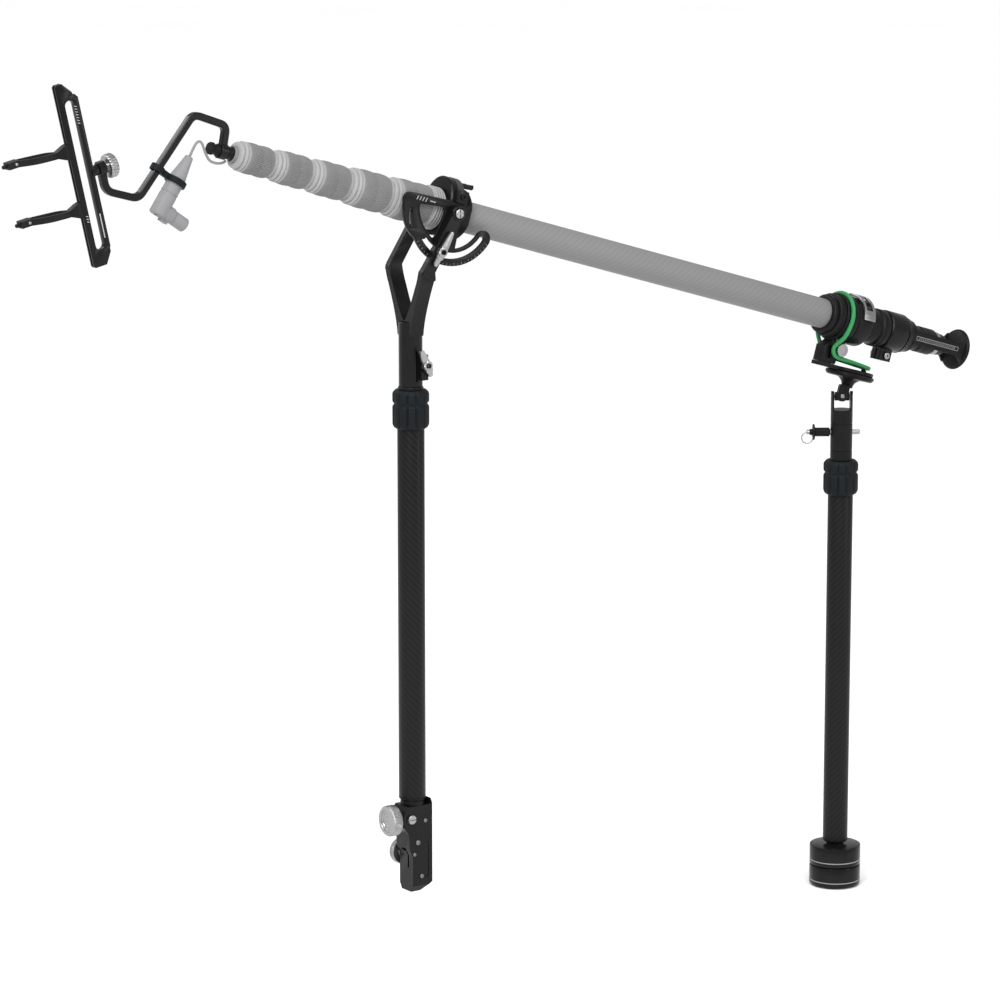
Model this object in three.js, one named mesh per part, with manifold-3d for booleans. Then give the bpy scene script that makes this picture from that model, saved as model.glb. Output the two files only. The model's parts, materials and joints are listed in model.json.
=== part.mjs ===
// A body-worn boom pole rig: a collapsed telescopic boom in a tilting cradle on a carbon mast,
// a microphone suspension at its tip and a hanging counterweight arm near its tail.
// Millimetres, +Z up, +X from the tip towards the tail. The origin is on the bracket's bag face.
import * as THREE from 'three';
import { mergeVertices } from 'three/addons/utils/BufferGeometryUtils.js';
import Module from 'manifold-3d';

const wasm = await Module();
wasm.setup();

// Driving dimensions
const gap = 0.3; // between pieces that touch
const boomTilt = THREE.MathUtils.degToRad(16.6); // tail hangs below the tip
const mastRadius = 16;
const mastLength = 451; // outer tube
const tubeWall = 1.8;
const innerRadius = mastRadius - tubeWall - 0.7; // sliding tube of the mast and of the counterweight arm
const bracketDepth = 28; // along Y
const bracketBack = mastRadius + 3; // from the mast axis to the bag face
const bracketHeight = 105;
const collarRadius = mastRadius + 5.6; // rubber lock collar of the mast
const collarLength = 46;
const forkReach = 42; // pivot ahead of the mast
const prongThickness = 8;
const prongWidth = 14.4;
const sleeveLength = 76; // fork sleeve on the mast head
const boomRadius = 18.5; // main tube
const boomWall = 1.3;
const boomStep = 0.5; // clearance between nested tubes
const boomRear = 735; // main tube behind the pivot
const nestedLength = 560;
const cradleRadius = boomRadius + 12;
const cradleLength = 32;
const forkSpread = cradleRadius + 5; // middle of a prong from the centre plane
const plateRadius = 62; // quadrant
const slotRadius = plateRadius * 0.80645;
const slotWidth = 7;
const rearRingAt = boomRear - 135; // front of the rear clamp, behind the pivot
const platformRadius = 31;
const armRadius = innerRadius + tubeWall + 0.5; // counterweight arm
const armLength = 462;
const weightRadius = 32.5;
const weightHeight = 25.5;
const barLength = 209; // suspension bar
const barWidth = 25.5;
const barThickness = 7;
const armBar = 8.5; // square section of the offset arm

const pinRadius = 3; // pivot screws, studs and axles
const boltRadius = 2.6; // lever bolts and joint pins
const leadRadius = 1.5;

const roundSides = 20; // every bore and the shaft in it are cut with the same number of sides
const smallSides = 12;

const finish = (color, roughness, metalness) =>
  new THREE.MeshStandardMaterial({ color, roughness, metalness });
const blackAnodised = finish(0x1b1c1f, 0.42, 0.6);
const carbon = finish(0x2b2b2e, 0.4, 0.2);
const greyCarbon = finish(0x8b8c8e, 0.45, 0.2);
const greyGrip = finish(0x8f9193, 0.5, 0.1);
const rubber = finish(0x23272b, 0.8, 0);
const silver = finish(0xb9bbbd, 0.25, 1);
const blackPlastic = finish(0x202124, 0.55, 0);
const greyPlastic = finish(0x8a8b8d, 0.5, 0);
const greyCable = finish(0x8c8c8d, 0.6, 0);
const greenElastic = finish(0x1f9a4a, 0.7, 0);
const weightSteel = finish(0x16171a, 0.3, 0.7);

// A closed geometry as a solid whose faces point out
function solid(geometry) {
  const bare = geometry.clone();
  bare.deleteAttribute('normal');
  bare.deleteAttribute('uv');
  const merged = mergeVertices(bare, 1e-3);
  const position = merged.attributes.position;
  const corner = [new THREE.Vector3(), new THREE.Vector3(), new THREE.Vector3()];
  const faces = [];
  let volume = 0;
  for (let i = 0; i < merged.index.count; i += 3) {
    const face = [0, 1, 2].map((k) => merged.index.getX(i + k));
    if (face[0] === face[1] || face[1] === face[2] || face[2] === face[0]) continue;
    face.forEach((v, k) => corner[k].fromBufferAttribute(position, v));
    volume += corner[0].dot(corner[1].cross(corner[2]));
    faces.push(face);
  }
  const triVerts = Uint32Array.from(faces.flatMap(([a, b, c]) => (volume < 0 ? [a, c, b] : [a, b, c])));
  const vertProperties = Float32Array.from(position.array);
  return new wasm.Manifold(new wasm.Mesh({ numProp: 3, vertProperties, triVerts }));
}

function geometryOf(body) {
  const { vertProperties, triVerts } = body.getMesh();
  const geometry = new THREE.BufferGeometry();
  geometry.setAttribute('position', new THREE.BufferAttribute(vertProperties, 3));
  geometry.setIndex(new THREE.BufferAttribute(triVerts, 1));
  geometry.computeVertexNormals();
  return geometry;
}

function piece(name, body, material, parent) {
  const mesh = new THREE.Mesh(geometryOf(body), material);
  mesh.name = name;
  parent.add(mesh);
  return mesh;
}

// Turned solids: outline is a list of [radius, distance along the axis]
function turned(outline, axis = 'z', sides = roundSides) {
  const points = outline.map(([r, a]) => new THREE.Vector2(r, a));
  if (outline[0][0] > 0) points.push(points[0].clone());
  const geometry = new THREE.LatheGeometry(points, sides);
  if (axis === 'z') geometry.rotateX(Math.PI / 2);
  if (axis === 'x') geometry.rotateZ(-Math.PI / 2);
  return solid(geometry);
}

const rod = (radius, from, to, axis = 'z', sides = smallSides) =>
  turned([[0, from], [radius, from], [radius, to], [0, to]], axis, sides);
const pipe = (outer, inner, from, to, axis = 'z', sides = roundSides) =>
  turned([[inner, from], [outer, from], [outer, to], [inner, to]], axis, sides);

function box(x0, x1, y0, y1, z0, z1) {
  const geometry = new THREE.BoxGeometry(x1 - x0, y1 - y0, z1 - z0);
  geometry.translate((x0 + x1) / 2, (y0 + y1) / 2, (z0 + z1) / 2);
  return solid(geometry);
}

const shapeOf = (points) => new THREE.Shape(points.map(([u, v]) => new THREE.Vector2(u, v)));

// The same outline with points that fall together left out
function cleaned(points) {
  const kept = points.filter((p, i) => i === 0 || p.distanceTo(points[i - 1]) > 0.02);
  if (kept[0].distanceTo(kept[kept.length - 1]) < 0.02) kept.pop();
  return kept;
}

// A flat plate: its outline lies in X and Z, and it fills y0 to y1
function plate(outline, y0, y1, curveSegments = 12) {
  const { shape: edge, holes } = outline.extractPoints(curveSegments);
  const shape = new THREE.Shape(cleaned(edge));
  shape.holes = holes.map((hole) => new THREE.Path(cleaned(hole)));
  const geometry = new THREE.ExtrudeGeometry(shape, { depth: y1 - y0, bevelEnabled: false });
  geometry.rotateX(Math.PI / 2);
  geometry.translate(0, y1, 0);
  return solid(geometry);
}

// A flat plate whose outline lies in Y and Z, and which fills x0 to x1
function crossPlate(shape, x0, x1) {
  return plate(shape, -x1, -x0).rotate([0, 0, 90]);
}

// A bar that follows points, with round corners of the given radius
function bent(points, cornerRadius, section, steps) {
  const path = new THREE.CurvePath();
  const corners = points.map(([x, y, z]) => new THREE.Vector3(x, y, z));
  let last = corners[0];
  for (let i = 1; i < corners.length - 1; i++) {
    const back = corners[i - 1].clone().sub(corners[i]).setLength(cornerRadius).add(corners[i]);
    const ahead = corners[i + 1].clone().sub(corners[i]).setLength(cornerRadius).add(corners[i]);
    path.add(new THREE.LineCurve3(last, back));
    path.add(new THREE.QuadraticBezierCurve3(back, corners[i], ahead));
    last = ahead;
  }
  path.add(new THREE.LineCurve3(last, corners[corners.length - 1]));
  return solid(new THREE.ExtrudeGeometry(section, { steps, extrudePath: path, bevelEnabled: false }));
}

function roundSection(radius, sides) {
  const points = [];
  for (let i = 0; i < sides; i++) {
    const angle = (i / sides) * 2 * Math.PI;
    points.push([radius * Math.cos(angle), radius * Math.sin(angle)]);
  }
  return shapeOf(points);
}

// A square with its corners cut
function squareSection(side) {
  const half = side / 2;
  const cut = half * 0.62;
  return shapeOf([[half, -cut], [half, cut], [cut, half], [-cut, half],
    [-half, cut], [-half, -cut], [-cut, -half], [cut, -half]]);
}

// Heights of the mast, from the bracket upwards
const bracketBottom = -bracketHeight / 2;
const footTop = bracketBottom + bracketHeight + 10.5; // the outer tube stands here
const collarBottom = footTop + mastLength - 7.5;
const collarTop = collarBottom + collarLength;
const headRingTop = collarTop + 4;
const sleeveBottom = headRingTop + gap;
const sleeveTop = sleeveBottom + sleeveLength;
const elbowHeight = sleeveTop + 61;
const pivotHeight = elbowHeight + plateRadius + 4;
const socketFloor = bracketBottom + 70;
const seatHeight = footTop - 9.7; // the foot's ring rests here

const group = new THREE.Group();
const rig = new THREE.Group(); // the mast axis is this group's Z axis
rig.position.x = -bracketBack;
group.add(rig);

function addBase() {
  const top = bracketBottom + bracketHeight;
  const front = bracketDepth / 2;
  const outline = shapeOf([
    [-9, bracketBottom], [4, bracketBottom], [bracketBack, bracketBottom + 10],
    [bracketBack, top + 2], [mastRadius + gap + 0.4, top + 8], [mastRadius + gap + 0.4, seatHeight - gap],
    [-15, seatHeight - gap], [-21.4, top - 9], [-21.4, top - 24],
    [-14.5, top - 33], [-13, top - 53], [-9, top - 61],
  ]);
  let bracket = plate(outline, -front, front);
  bracket = bracket.subtract(rod(10 + gap, socketFloor, top + 20, 'z', roundSides));
  bracket = bracket.subtract(rod(pinRadius + gap, -30, 0, 'x').translate([0, 0, top - 16]));
  bracket = bracket.subtract(rod(pinRadius + gap, 2, front + 5, 'y').translate([-1, 0, top - 62]));
  const slotTop = top - 52;
  bracket = bracket.subtract(box(-20, -5.5, -6, -3, slotTop - 24, slotTop));
  bracket = bracket.subtract(box(-20, -5.5, -6, 4, slotTop - 3, slotTop));
  // the two lower side edges are cut away
  const cut = 9;
  const wedge = shapeOf([[front - 5, bracketBottom - 1], [front + 1, bracketBottom - 1],
    [front + 1, bracketBottom + cut]]);
  bracket = bracket.subtract(crossPlate(wedge, -40, 40));
  piece('base_bracket', bracket, blackAnodised, rig);

  const shoulder = innerRadius + 0.8;
  const foot = turned([[0, socketFloor + 1], [10, socketFloor + 1], [10, seatHeight],
    [shoulder, seatHeight], [shoulder, footTop - 2.6], [mastRadius, footTop - 2.2],
    [mastRadius, footTop - gap],
    [mastRadius - tubeWall - gap, footTop - gap], [mastRadius - tubeWall - gap, footTop + 18],
    [0, footTop + 18]]);
  piece('mast_foot', foot, blackAnodised, rig);

  const tube = pipe(mastRadius, mastRadius - tubeWall, footTop, footTop + mastLength);
  piece('mast_outer_tube', tube, carbon, rig);

  // the clamp knob presses its stud on the foot's spigot
  const knobFace = -21.4 - gap;
  const knob = turned([[0, -10 - 1], [3, -10 - 1], [3, knobFace], [8, knobFace], [8, knobFace - 6],
    [17.5, knobFace - 6], [18.5, knobFace - 7], [18.5, knobFace - 13.5], [17.3, knobFace - 15],
    [13, knobFace - 15], [12, knobFace - 14], [0, knobFace - 14]], 'x');
  const clampKnob = piece('base_clamp_knob', knob, silver, rig);
  clampKnob.position.z = top - 16;

  const face = front + gap;
  const stud = turned([[0, 4], [3, 4], [3, face], [7, face], [7, face + 3], [15, face + 3], [16, face + 4],
    [16, face + 10], [14.8, face + 11.5], [0, face + 11.5]], 'y');
  const backKnob = piece('base_back_knob', stud, silver, rig);
  backKnob.position.set(-1, 0, top - 62);
}

// A twelve-lobed rubber collar, bored for the outer tube below and for the inner tube above
function lockCollar(name, outerTube, radius, bottom, length, seat, parent) {
  const lobes = 12;
  const points = [];
  for (let i = 0; i < lobes; i++) {
    for (const [step, r] of [[-0.36, radius], [0.2, radius], [0.42, radius - 1.6]]) {
      const angle = ((i + step) / lobes) * 2 * Math.PI;
      points.push([r * Math.cos(angle), r * Math.sin(angle)]);
    }
  }
  const geometry = new THREE.ExtrudeGeometry(shapeOf(points), { depth: length, bevelEnabled: false });
  let body = solid(geometry.translate(0, 0, bottom));
  const top = bottom + length;
  const middle = bottom + length * 0.66;
  const envelope = turned([[0, bottom], [radius - 4.5, bottom], [radius, bottom + 4.5],
    [radius - 0.7, middle], [radius, top - 4], [radius - 3.5, top], [0, top]]);
  body = body.intersect(envelope);
  const narrow = rod(innerRadius + 2 * gap, bottom - 1, top + 1, 'z', roundSides);
  const wide = rod(outerTube + gap, bottom - 1, bottom + seat, 'z', roundSides);
  piece(name, body.subtract(narrow).subtract(wide), rubber, parent);
}

function addMast() {
  const seat = footTop + mastLength + gap - collarBottom;
  lockCollar('mast_lock_collar', mastRadius, collarRadius, collarBottom, collarLength, seat, rig);
  // tube with a turned head whose spigot carries the fork
  const inner = turned([[innerRadius - 1.6, footTop + 70], [innerRadius, footTop + 70],
    [innerRadius, collarTop + gap], [15, collarTop + gap], [15, headRingTop - 1.8], [14.2, headRingTop - 1.6],
    [14.2, headRingTop], [9.6, headRingTop], [9.6, sleeveTop - 12], [8.6, sleeveTop - 11],
    [4, sleeveTop - 11], [4, collarBottom], [innerRadius - 1.6, collarBottom]]);
  piece('mast_inner_tube', inner, blackAnodised, rig);
}

const prongInner = forkSpread - prongThickness / 2;
const prongOuter = forkSpread + prongThickness / 2;

function addFork() {
  const sleeveRadius = 14;
  const vee = shapeOf([
    [-sleeveRadius + 0.6, sleeveTop - 16], [sleeveRadius - 0.6, sleeveTop - 16],
    [prongOuter - 1.5, elbowHeight - 3], [prongOuter, elbowHeight + 4], [prongOuter, elbowHeight + 12],
    [prongInner, elbowHeight + 12], [prongInner, elbowHeight + 4], [prongInner - 2, elbowHeight - 1],
    [4, sleeveTop + 4], [1.5, sleeveTop + 1], [-1.5, sleeveTop + 1], [-4, sleeveTop + 4],
    [-prongInner + 2, elbowHeight - 1], [-prongInner, elbowHeight + 4], [-prongInner, elbowHeight + 12],
    [-prongOuter, elbowHeight + 12], [-prongOuter, elbowHeight + 4], [-prongOuter + 1.5, elbowHeight - 3],
  ]);
  let yoke = crossPlate(vee, -9.2, 9.2);
  // the elbow is trimmed to the slanting line of the prongs
  const lean = Math.atan2(forkReach, pivotHeight - elbowHeight);
  const across = [Math.cos(lean), -Math.sin(lean)];
  const side = (x, z, offset) => [x + across[0] * offset, z + across[1] * offset];
  const half = prongWidth / 2;
  const trim = shapeOf([side(0, elbowHeight, -half - 1), side(forkReach, pivotHeight, -half - 1),
    [-60, pivotHeight], [-60, elbowHeight + 1], [-9.2, elbowHeight + 1]]);
  yoke = yoke.subtract(plate(trim, -50, 50));
  const prong = shapeOf([[-9.2, elbowHeight - 1], [9.2, elbowHeight - 8],
    side(2, elbowHeight + 4, half + 0.5), side(forkReach, pivotHeight, half),
    side(forkReach, pivotHeight, -half), side(0, elbowHeight, -half - 1)]);
  for (const sign of [-1, 1]) {
    const inner = Math.min(sign * prongInner, sign * prongOuter);
    yoke = yoke.add(plate(prong, inner, inner + prongThickness));
    const boss = rod(9, inner, inner + prongThickness, 'y').translate([forkReach, 0, pivotHeight]);
    yoke = yoke.add(boss);
  }
  yoke = yoke.subtract(rod(pinRadius + gap, -60, 60, 'y').translate([forkReach, 0, pivotHeight]));
  const sleeve = rod(sleeveRadius, sleeveBottom, sleeveTop, 'z', roundSides);
  const lug = box(3, 12.5, -18.5, -6, sleeveBottom + 8, sleeveBottom + 38);
  yoke = yoke.add(sleeve).add(lug);
  yoke = yoke.subtract(rod(9.6 + gap, sleeveBottom - 1, sleeveTop - 10.5, 'z', roundSides));
  // clamping slit beside the lug, and the hole of the arc clamp bolt
  yoke = yoke.subtract(box(-1.6, 0.6, -25, -5, sleeveBottom + 6, sleeveBottom + 42));
  const bolt = boltPlace();
  yoke = yoke.subtract(rod(boltRadius + gap, -50, 0, 'y').translate([bolt.x, 0, bolt.z]));
  yoke = yoke.subtract(rod(boltRadius + gap, -30, -12, 'y').translate([8, 0, leverHeight]));
  piece('fork_yoke', yoke, blackAnodised, rig);

  for (const [name, sign] of [['near', -1], ['far', 1]]) {
    const from = prongOuter + gap;
    const screwFrom = linerRadius + 4 * gap;
    const screw = turned([[0, screwFrom], [pinRadius, screwFrom], [pinRadius, from], [5.6, from],
      [5.6, from + 1.8], [4.8, from + 2.6], [0, from + 2.6]], 'y', smallSides);
    const slot = box(-8, 8, from + 1.5, from + 5, -0.7, 0.7);
    const mesh = piece(`pivot_screw_${name}`, screw.subtract(slot), silver, rig);
    mesh.position.set(forkReach, 0, pivotHeight);
    if (sign < 0) mesh.rotation.z = Math.PI;
  }
}

const leverHeight = sleeveBottom + 26;

// The arc clamp's bolt, on the near prong's line at the slot's radius
function boltPlace() {
  const lean = Math.atan2(forkReach, pivotHeight - elbowHeight);
  return { x: forkReach - slotRadius * Math.sin(lean), z: pivotHeight - slotRadius * Math.cos(lean), lean };
}

// A ratchet lever: a hub with a tapered handle along +Z, on a bolt along Y that ends at y = 0
function ratchetLever(boltLength, handle) {
  const hubFrom = -boltLength;
  let body = rod(boltRadius, hubFrom, 0, 'y');
  const hub = [[0, hubFrom - 7], [3.4, hubFrom - 7], [5.6, hubFrom - 5.5], [5.6, hubFrom], [0, hubFrom]];
  body = body.add(turned(hub, 'y', smallSides));
  const arm = shapeOf([[-4.6, -6], [4.6, -6], [4.8, 4], [2.6, handle], [-2.6, handle], [-4.8, 4]]);
  body = body.add(plate(arm, hubFrom - 6, hubFrom - 1.2));
  const heel = shapeOf([[-3.4, -5], [3.4, -5], [2.8, -handle * 0.72], [-2.8, -handle * 0.72]]);
  return body.add(plate(heel, hubFrom - 4.8, hubFrom - 0.8));
}

function addLevers() {
  const bolt = boltPlace();
  const nutFace = plateInner - gap;
  let lever = ratchetLever(prongOuter + gap - nutFace, 26);
  lever = lever.add(rod(5, 0, 2, 'y', 6));
  const clamp = piece('fork_lever', lever, silver, rig);
  clamp.position.set(bolt.x, -nutFace, bolt.z);
  clamp.rotation.y = bolt.lean;
  const head = piece('head_lever', ratchetLever(5.5 + gap, 20), silver, rig);
  head.position.set(8, -13, leverHeight);
  head.rotation.y = THREE.MathUtils.degToRad(-24);
}

const boom = new THREE.Group(); // X runs along the boom from the pivot
boom.position.set(forkReach, 0, pivotHeight);
boom.rotation.y = boomTilt;
rig.add(boom);

const cradleFront = -7;
const cradleBack = cradleFront + cradleLength;
const cradleHalf = prongInner - 4; // flat sides of the ring
const linerRadius = boomRadius + 1.9;
const plateInner = cradleHalf + gap;
const plateOuter = prongInner - gap;

function addQuadrant() {
  const arc = (degrees) => THREE.MathUtils.degToRad(degrees);
  const outer = plateRadius;
  const inner = slotRadius - slotWidth / 2 - 4.6;
  const shape = new THREE.Shape();
  shape.moveTo(10, 9);
  shape.lineTo(-outer * 0.2, 12.6);
  shape.lineTo(-outer * 1.08, 10.5);
  shape.quadraticCurveTo(-outer * 1.2, 9, -outer * 1.2, 1);
  shape.lineTo(-outer * 1.13, -15);
  shape.quadraticCurveTo(-outer * 1.05, -32, outer * Math.cos(arc(221)), outer * Math.sin(arc(221)));
  shape.absarc(0, 0, outer, arc(221), arc(336), false);
  const endMiddle = (outer + inner) / 2;
  shape.absarc(endMiddle * Math.cos(arc(336)), endMiddle * Math.sin(arc(336)), (outer - inner) / 2,
    arc(336), arc(516), false);
  shape.absarc(0, 0, inner, arc(336), arc(286), true);
  shape.lineTo(10, -10);
  const slot = new THREE.Path();
  const half = slotWidth / 2;
  const middleOf = (angle) => [slotRadius * Math.cos(arc(angle)), slotRadius * Math.sin(arc(angle))];
  slot.absarc(0, 0, slotRadius + half, arc(225), arc(334), false);
  slot.absarc(...middleOf(334), half, arc(334), arc(514), false);
  slot.absarc(0, 0, slotRadius - half, arc(334), arc(225), true);
  slot.absarc(...middleOf(225), half, arc(405), arc(225), false);
  shape.holes.push(slot);
  // openings in the web, drawn for a plate of this radius
  const scale = plateRadius / 62;
  const web = new THREE.Path();
  web.moveTo(-48 * scale, scale);
  web.lineTo(-20 * scale, 3.5 * scale);
  web.quadraticCurveTo(-14 * scale, 3 * scale, -14 * scale, -4 * scale);
  web.lineTo(-19 * scale, -31 * scale);
  web.quadraticCurveTo(-21 * scale, -37 * scale, -26 * scale, -34 * scale);
  web.quadraticCurveTo(-46 * scale, -22 * scale, -51 * scale, -5 * scale);
  web.quadraticCurveTo(-52 * scale, scale, -48 * scale, scale);
  shape.holes.push(web);
  const side = new THREE.Path();
  side.moveTo(-64 * scale, -7 * scale);
  side.lineTo(-59.5 * scale, -6 * scale);
  side.quadraticCurveTo(-57.5 * scale, -20 * scale, -53 * scale, -29 * scale);
  side.lineTo(-56 * scale, -31 * scale);
  side.quadraticCurveTo(-62 * scale, -21 * scale, -64 * scale, -7 * scale);
  shape.holes.push(side);
  let body = plate(shape, -plateOuter, -plateInner, 7);
  body = body.subtract(rod(pinRadius + gap, -60, 0, 'y'));
  piece('quadrant_plate', body, blackAnodised, boom);
}

const capSplit = 12;

function addCradle() {
  const flats = box(-100, 400, -cradleHalf, cradleHalf, -200, 200);
  const bore = rod(linerRadius + gap, -100, 100, 'x', roundSides);
  const pivotHole = rod(pinRadius + gap, -60, 60, 'y');
  const capBack = cradleFront + 20;
  let ring = rod(cradleRadius, cradleFront, cradleBack, 'x', roundSides).intersect(flats);
  ring = ring.subtract(box(cradleFront - 1, capBack + gap, -60, 60, capSplit, 80));
  piece('cradle_ring', ring.subtract(bore).subtract(pivotHole), blackAnodised, boom);

  // the hinged cap stands higher than the ring, with a clamping lug on its near side
  const capRadius = cradleRadius - 3.5;
  let cap = rod(capRadius, cradleFront, capBack, 'x', roundSides).translate([0, 0, capSplit + 1]);
  cap = cap.intersect(flats).subtract(box(-60, 60, -60, 60, -80, capSplit + gap));
  const lugFace = -cradleHalf;
  cap = cap.add(box(cradleFront + 5, capBack, lugFace - 4, lugFace + 4, capSplit + gap, capSplit + 15));
  piece('cradle_cap', cap.subtract(bore), blackAnodised, boom);

  const liner = pipe(linerRadius, boomRadius + gap, cradleFront - 0.4, cradleBack + 0.6, 'x');
  piece('cradle_liner', liner, blackPlastic, boom);

  const wing = shapeOf([[0, -1], [2.5, -2.2], [15, -2.2], [17, 1], [15.5, 4], [3, 3.4]]);
  const lever = piece('cradle_cap_lever', plate(wing, -9, 2), blackPlastic, boom);
  lever.position.set(capBack + gap, -4, cradleRadius + 2.8);
}

// Telescopic boom: tube 1 is the main tube, and each collar sits on the front of its tube
const collars = [
  { wall: 5.5, grip: 43.4 },
  { wall: 5.8, grip: 40 },
  { wall: 5.5, grip: 37 },
  { wall: 6.2, grip: 35 },
  { wall: 6.7, grip: 34 },
];
const neckLength = 13;
const frontRings = 12;
const tubeRadiusOf = (index) => boomRadius - index * (boomWall + boomStep);

function addBoom() {
  let back = cradleFront - 0.4 - gap;
  let tubeFront = 0;
  let tubeBack = boomRear;
  for (let i = 0; i <= collars.length; i++) {
    const radius = tubeRadiusOf(i);
    const last = i === collars.length;
    const length = last ? 0 : frontRings + collars[i].grip + 4 + (i === 0 ? neckLength : 0);
    const front = back - length;
    tubeFront = last ? back - 3.5 : front + frontRings + 5;
    if (i > 0) tubeBack = tubeFront + nestedLength;
    const tubeName = i === 0 ? 'boom_main_tube' : `boom_tube_${i + 1}`;
    piece(tubeName, pipe(radius, radius - boomWall, tubeFront, tubeBack, 'x'), greyCarbon, boom);
    if (last) break;
    addBoomCollar(i, front, back, tubeFront);
    back = front - 0.4;
  }
  return tubeFront;
}

function addBoomCollar(i, front, back, tubeFront) {
  const { wall, grip } = collars[i];
  const radius = tubeRadiusOf(i) + wall;
  const gripFrom = front + frontRings;
  const gripTo = gripFrom + grip;
  const bore = tubeRadiusOf(i) + gap;
  const throat = tubeRadiusOf(i + 1) + gap;
  const outline = [[throat, front], [radius - 5, front], [radius - 2.6, front + 2.4],
    [radius - 2.6, front + 5], [radius - 1, front + 6.5], [radius - 1, gripFrom - 1.5],
    [radius, gripFrom + 3], [radius - 1.3, gripFrom + grip * 0.5],
    [radius, gripTo - 4], [radius - 2, gripTo]];
  if (i === 0) {
    outline.push([radius - 2, gripTo + 2], [radius + 1.2, gripTo + 4], [radius + 1.2, gripTo + 7],
      [radius - 1, gripTo + 9], [radius + 1.2, gripTo + 11], [radius + 1.2, back - 2.5],
      [radius - 1.5, back]);
  } else {
    outline.push([radius - 3.4, gripTo + 2], [radius - 3.4, back]);
  }
  outline.push([bore, back], [bore, tubeFront - gap], [throat, tubeFront - gap]);
  piece(`boom_collar_${i + 1}`, turned(outline, 'x'), greyGrip, boom);
}

// Offset arm from the boom tip to the suspension, in the boom's plane
const eyeThickness = armBar + 0.9;
const barLean = THREE.MathUtils.degToRad(-12.7);

function addTip(tubeFront) {
  const eyeBack = tubeFront - 8;
  const eyeFront = eyeBack - eyeThickness;
  const plug = tubeRadiusOf(collars.length) - boomWall - gap;
  const fitting = turned([[0, eyeFront - 9], [4.6, eyeFront - 9], [4.6, eyeBack + gap], [7.4, eyeBack + gap],
    [7.4, tubeFront - gap], [plug, tubeFront - gap], [plug, tubeFront + 15], [0, tubeFront + 15]], 'x', 18);
  piece('boom_tip_fitting', fitting, blackAnodised, boom);
  const nut = turned([[4.6 + gap, eyeFront - gap], [7, eyeFront - gap], [7, eyeFront - 3],
    [5.8, eyeFront - 4], [5.8, eyeFront - 7], [7.2, eyeFront - 8], [7.2, eyeFront - 12],
    [6, eyeFront - 13.5], [0, eyeFront - 13.5], [0, eyeFront - 9.5],
    [4.6 + gap, eyeFront - 9.5]], 'x', smallSides);
  piece('tip_thumb_nut', nut, blackAnodised, boom);

  const eyeMiddle = (eyeBack + eyeFront) / 2;
  const ahead = eyeFront - 13.5; // front of the thumb nut
  const knobFoot = armEnd();
  const up = [Math.sin(barLean - boomTilt), Math.cos(barLean - boomTilt)]; // along the suspension bar
  const along = (distance) => [knobFoot.x + distance * up[0], 0, knobFoot.z + distance * up[1]];
  const route = [[eyeMiddle, 0, 4], [eyeMiddle - 2.5, 0, 29], [ahead - 29.8, 0, 31.5],
    [ahead - 73.8, 0, -75], along(-26), along(8)];
  let arm = bent(route, 9, squareSection(armBar), 30);
  arm = arm.add(rod(9, eyeFront, eyeBack, 'x', smallSides));
  const eye = rod(8, -armBar / 2, armBar / 2, 'x', smallSides).rotate([0, suspensionTurn(), 0]);
  arm = arm.add(eye.translate([knobFoot.x, 0, knobFoot.z]));
  const hole = rod(pinRadius + gap, -20, 20, 'x').rotate([0, suspensionTurn(), 0]);
  arm = arm.subtract(hole.translate([knobFoot.x, 0, knobFoot.z]));
  arm = arm.subtract(rod(4.6 + gap, eyeFront - 20, eyeBack + 20, 'x', smallSides));
  piece('offset_arm', arm, blackAnodised, boom);
  addPlug(eyeMiddle, ahead);
}

// The suspension bar leans against the boom by this many degrees, about Y
const suspensionTurn = () => THREE.MathUtils.radToDeg(barLean - boomTilt);

// Centre of the offset arm's far eye, in the boom's frame
function armEnd() {
  return { x: -455, z: -53 };
}

function addSuspension() {
  const holder = new THREE.Group(); // Z along the bar, X towards the knob
  const end = armEnd();
  holder.position.set(end.x, 0, end.z);
  holder.rotation.y = barLean - boomTilt;
  boom.add(holder);
  const reach = armBar / 2 + gap; // from the eye's middle to the swivel neck
  const neck = 6;
  const edge = -reach - neck; // right edge of the bar
  const left = edge - barWidth;
  const half = barLength / 2;
  const y = barThickness / 2;
  const outline = shapeOf([[left, -half + 2], [left + 2, -half], [edge - 9, -half], [edge - 1, -half + 13],
    [edge - 1, -half + 17], [edge, -half + 19], [edge, half - 19], [edge - 3, half - 15],
    [edge - 6, half - 14], [edge - 6, half - 12], [left + 9, half], [left + 2, half], [left, half - 2]]);
  const slotHalf = 5.8;
  const middle = (left + edge) / 2 + 0.6;
  const slot = new THREE.Path();
  slot.absarc(middle, half - 26, slotHalf, 0, Math.PI, false);
  slot.absarc(middle, -half + 24, slotHalf, Math.PI, 2 * Math.PI, false);
  outline.holes.push(slot);
  let bar = plate(outline, -y, y, 6);
  // dovetail groove along the left edge, and the swivel neck on the right
  bar = bar.subtract(box(left - 1, left + 2.2, -1.6, 1.6, -half - 1, half + 1));
  bar = bar.add(rod(6, edge - 3, -reach, 'x'));
  bar = bar.subtract(rod(3, edge - 4, 0, 'x', 12));
  piece('suspension_bar', bar, blackAnodised, holder);

  const knobFrom = armBar / 2 + gap;
  const stem = knobFrom + 2.5;
  const knob = turned([[0, edge - 2], [2.7, edge - 2], [2.7, knobFrom], [6, knobFrom], [6, stem],
    [12.6, stem], [13.7, stem + 1.2], [13.7, stem + 8], [12.4, stem + 9.4], [0, stem + 9.4]], 'x', 18);
  piece('suspension_knob', knob, silver, holder);

  const places = [29.6, -37];
  places.forEach((height, i) => addLyre(`lyre_${i + 1}`, left - gap, height, holder));
}

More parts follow.
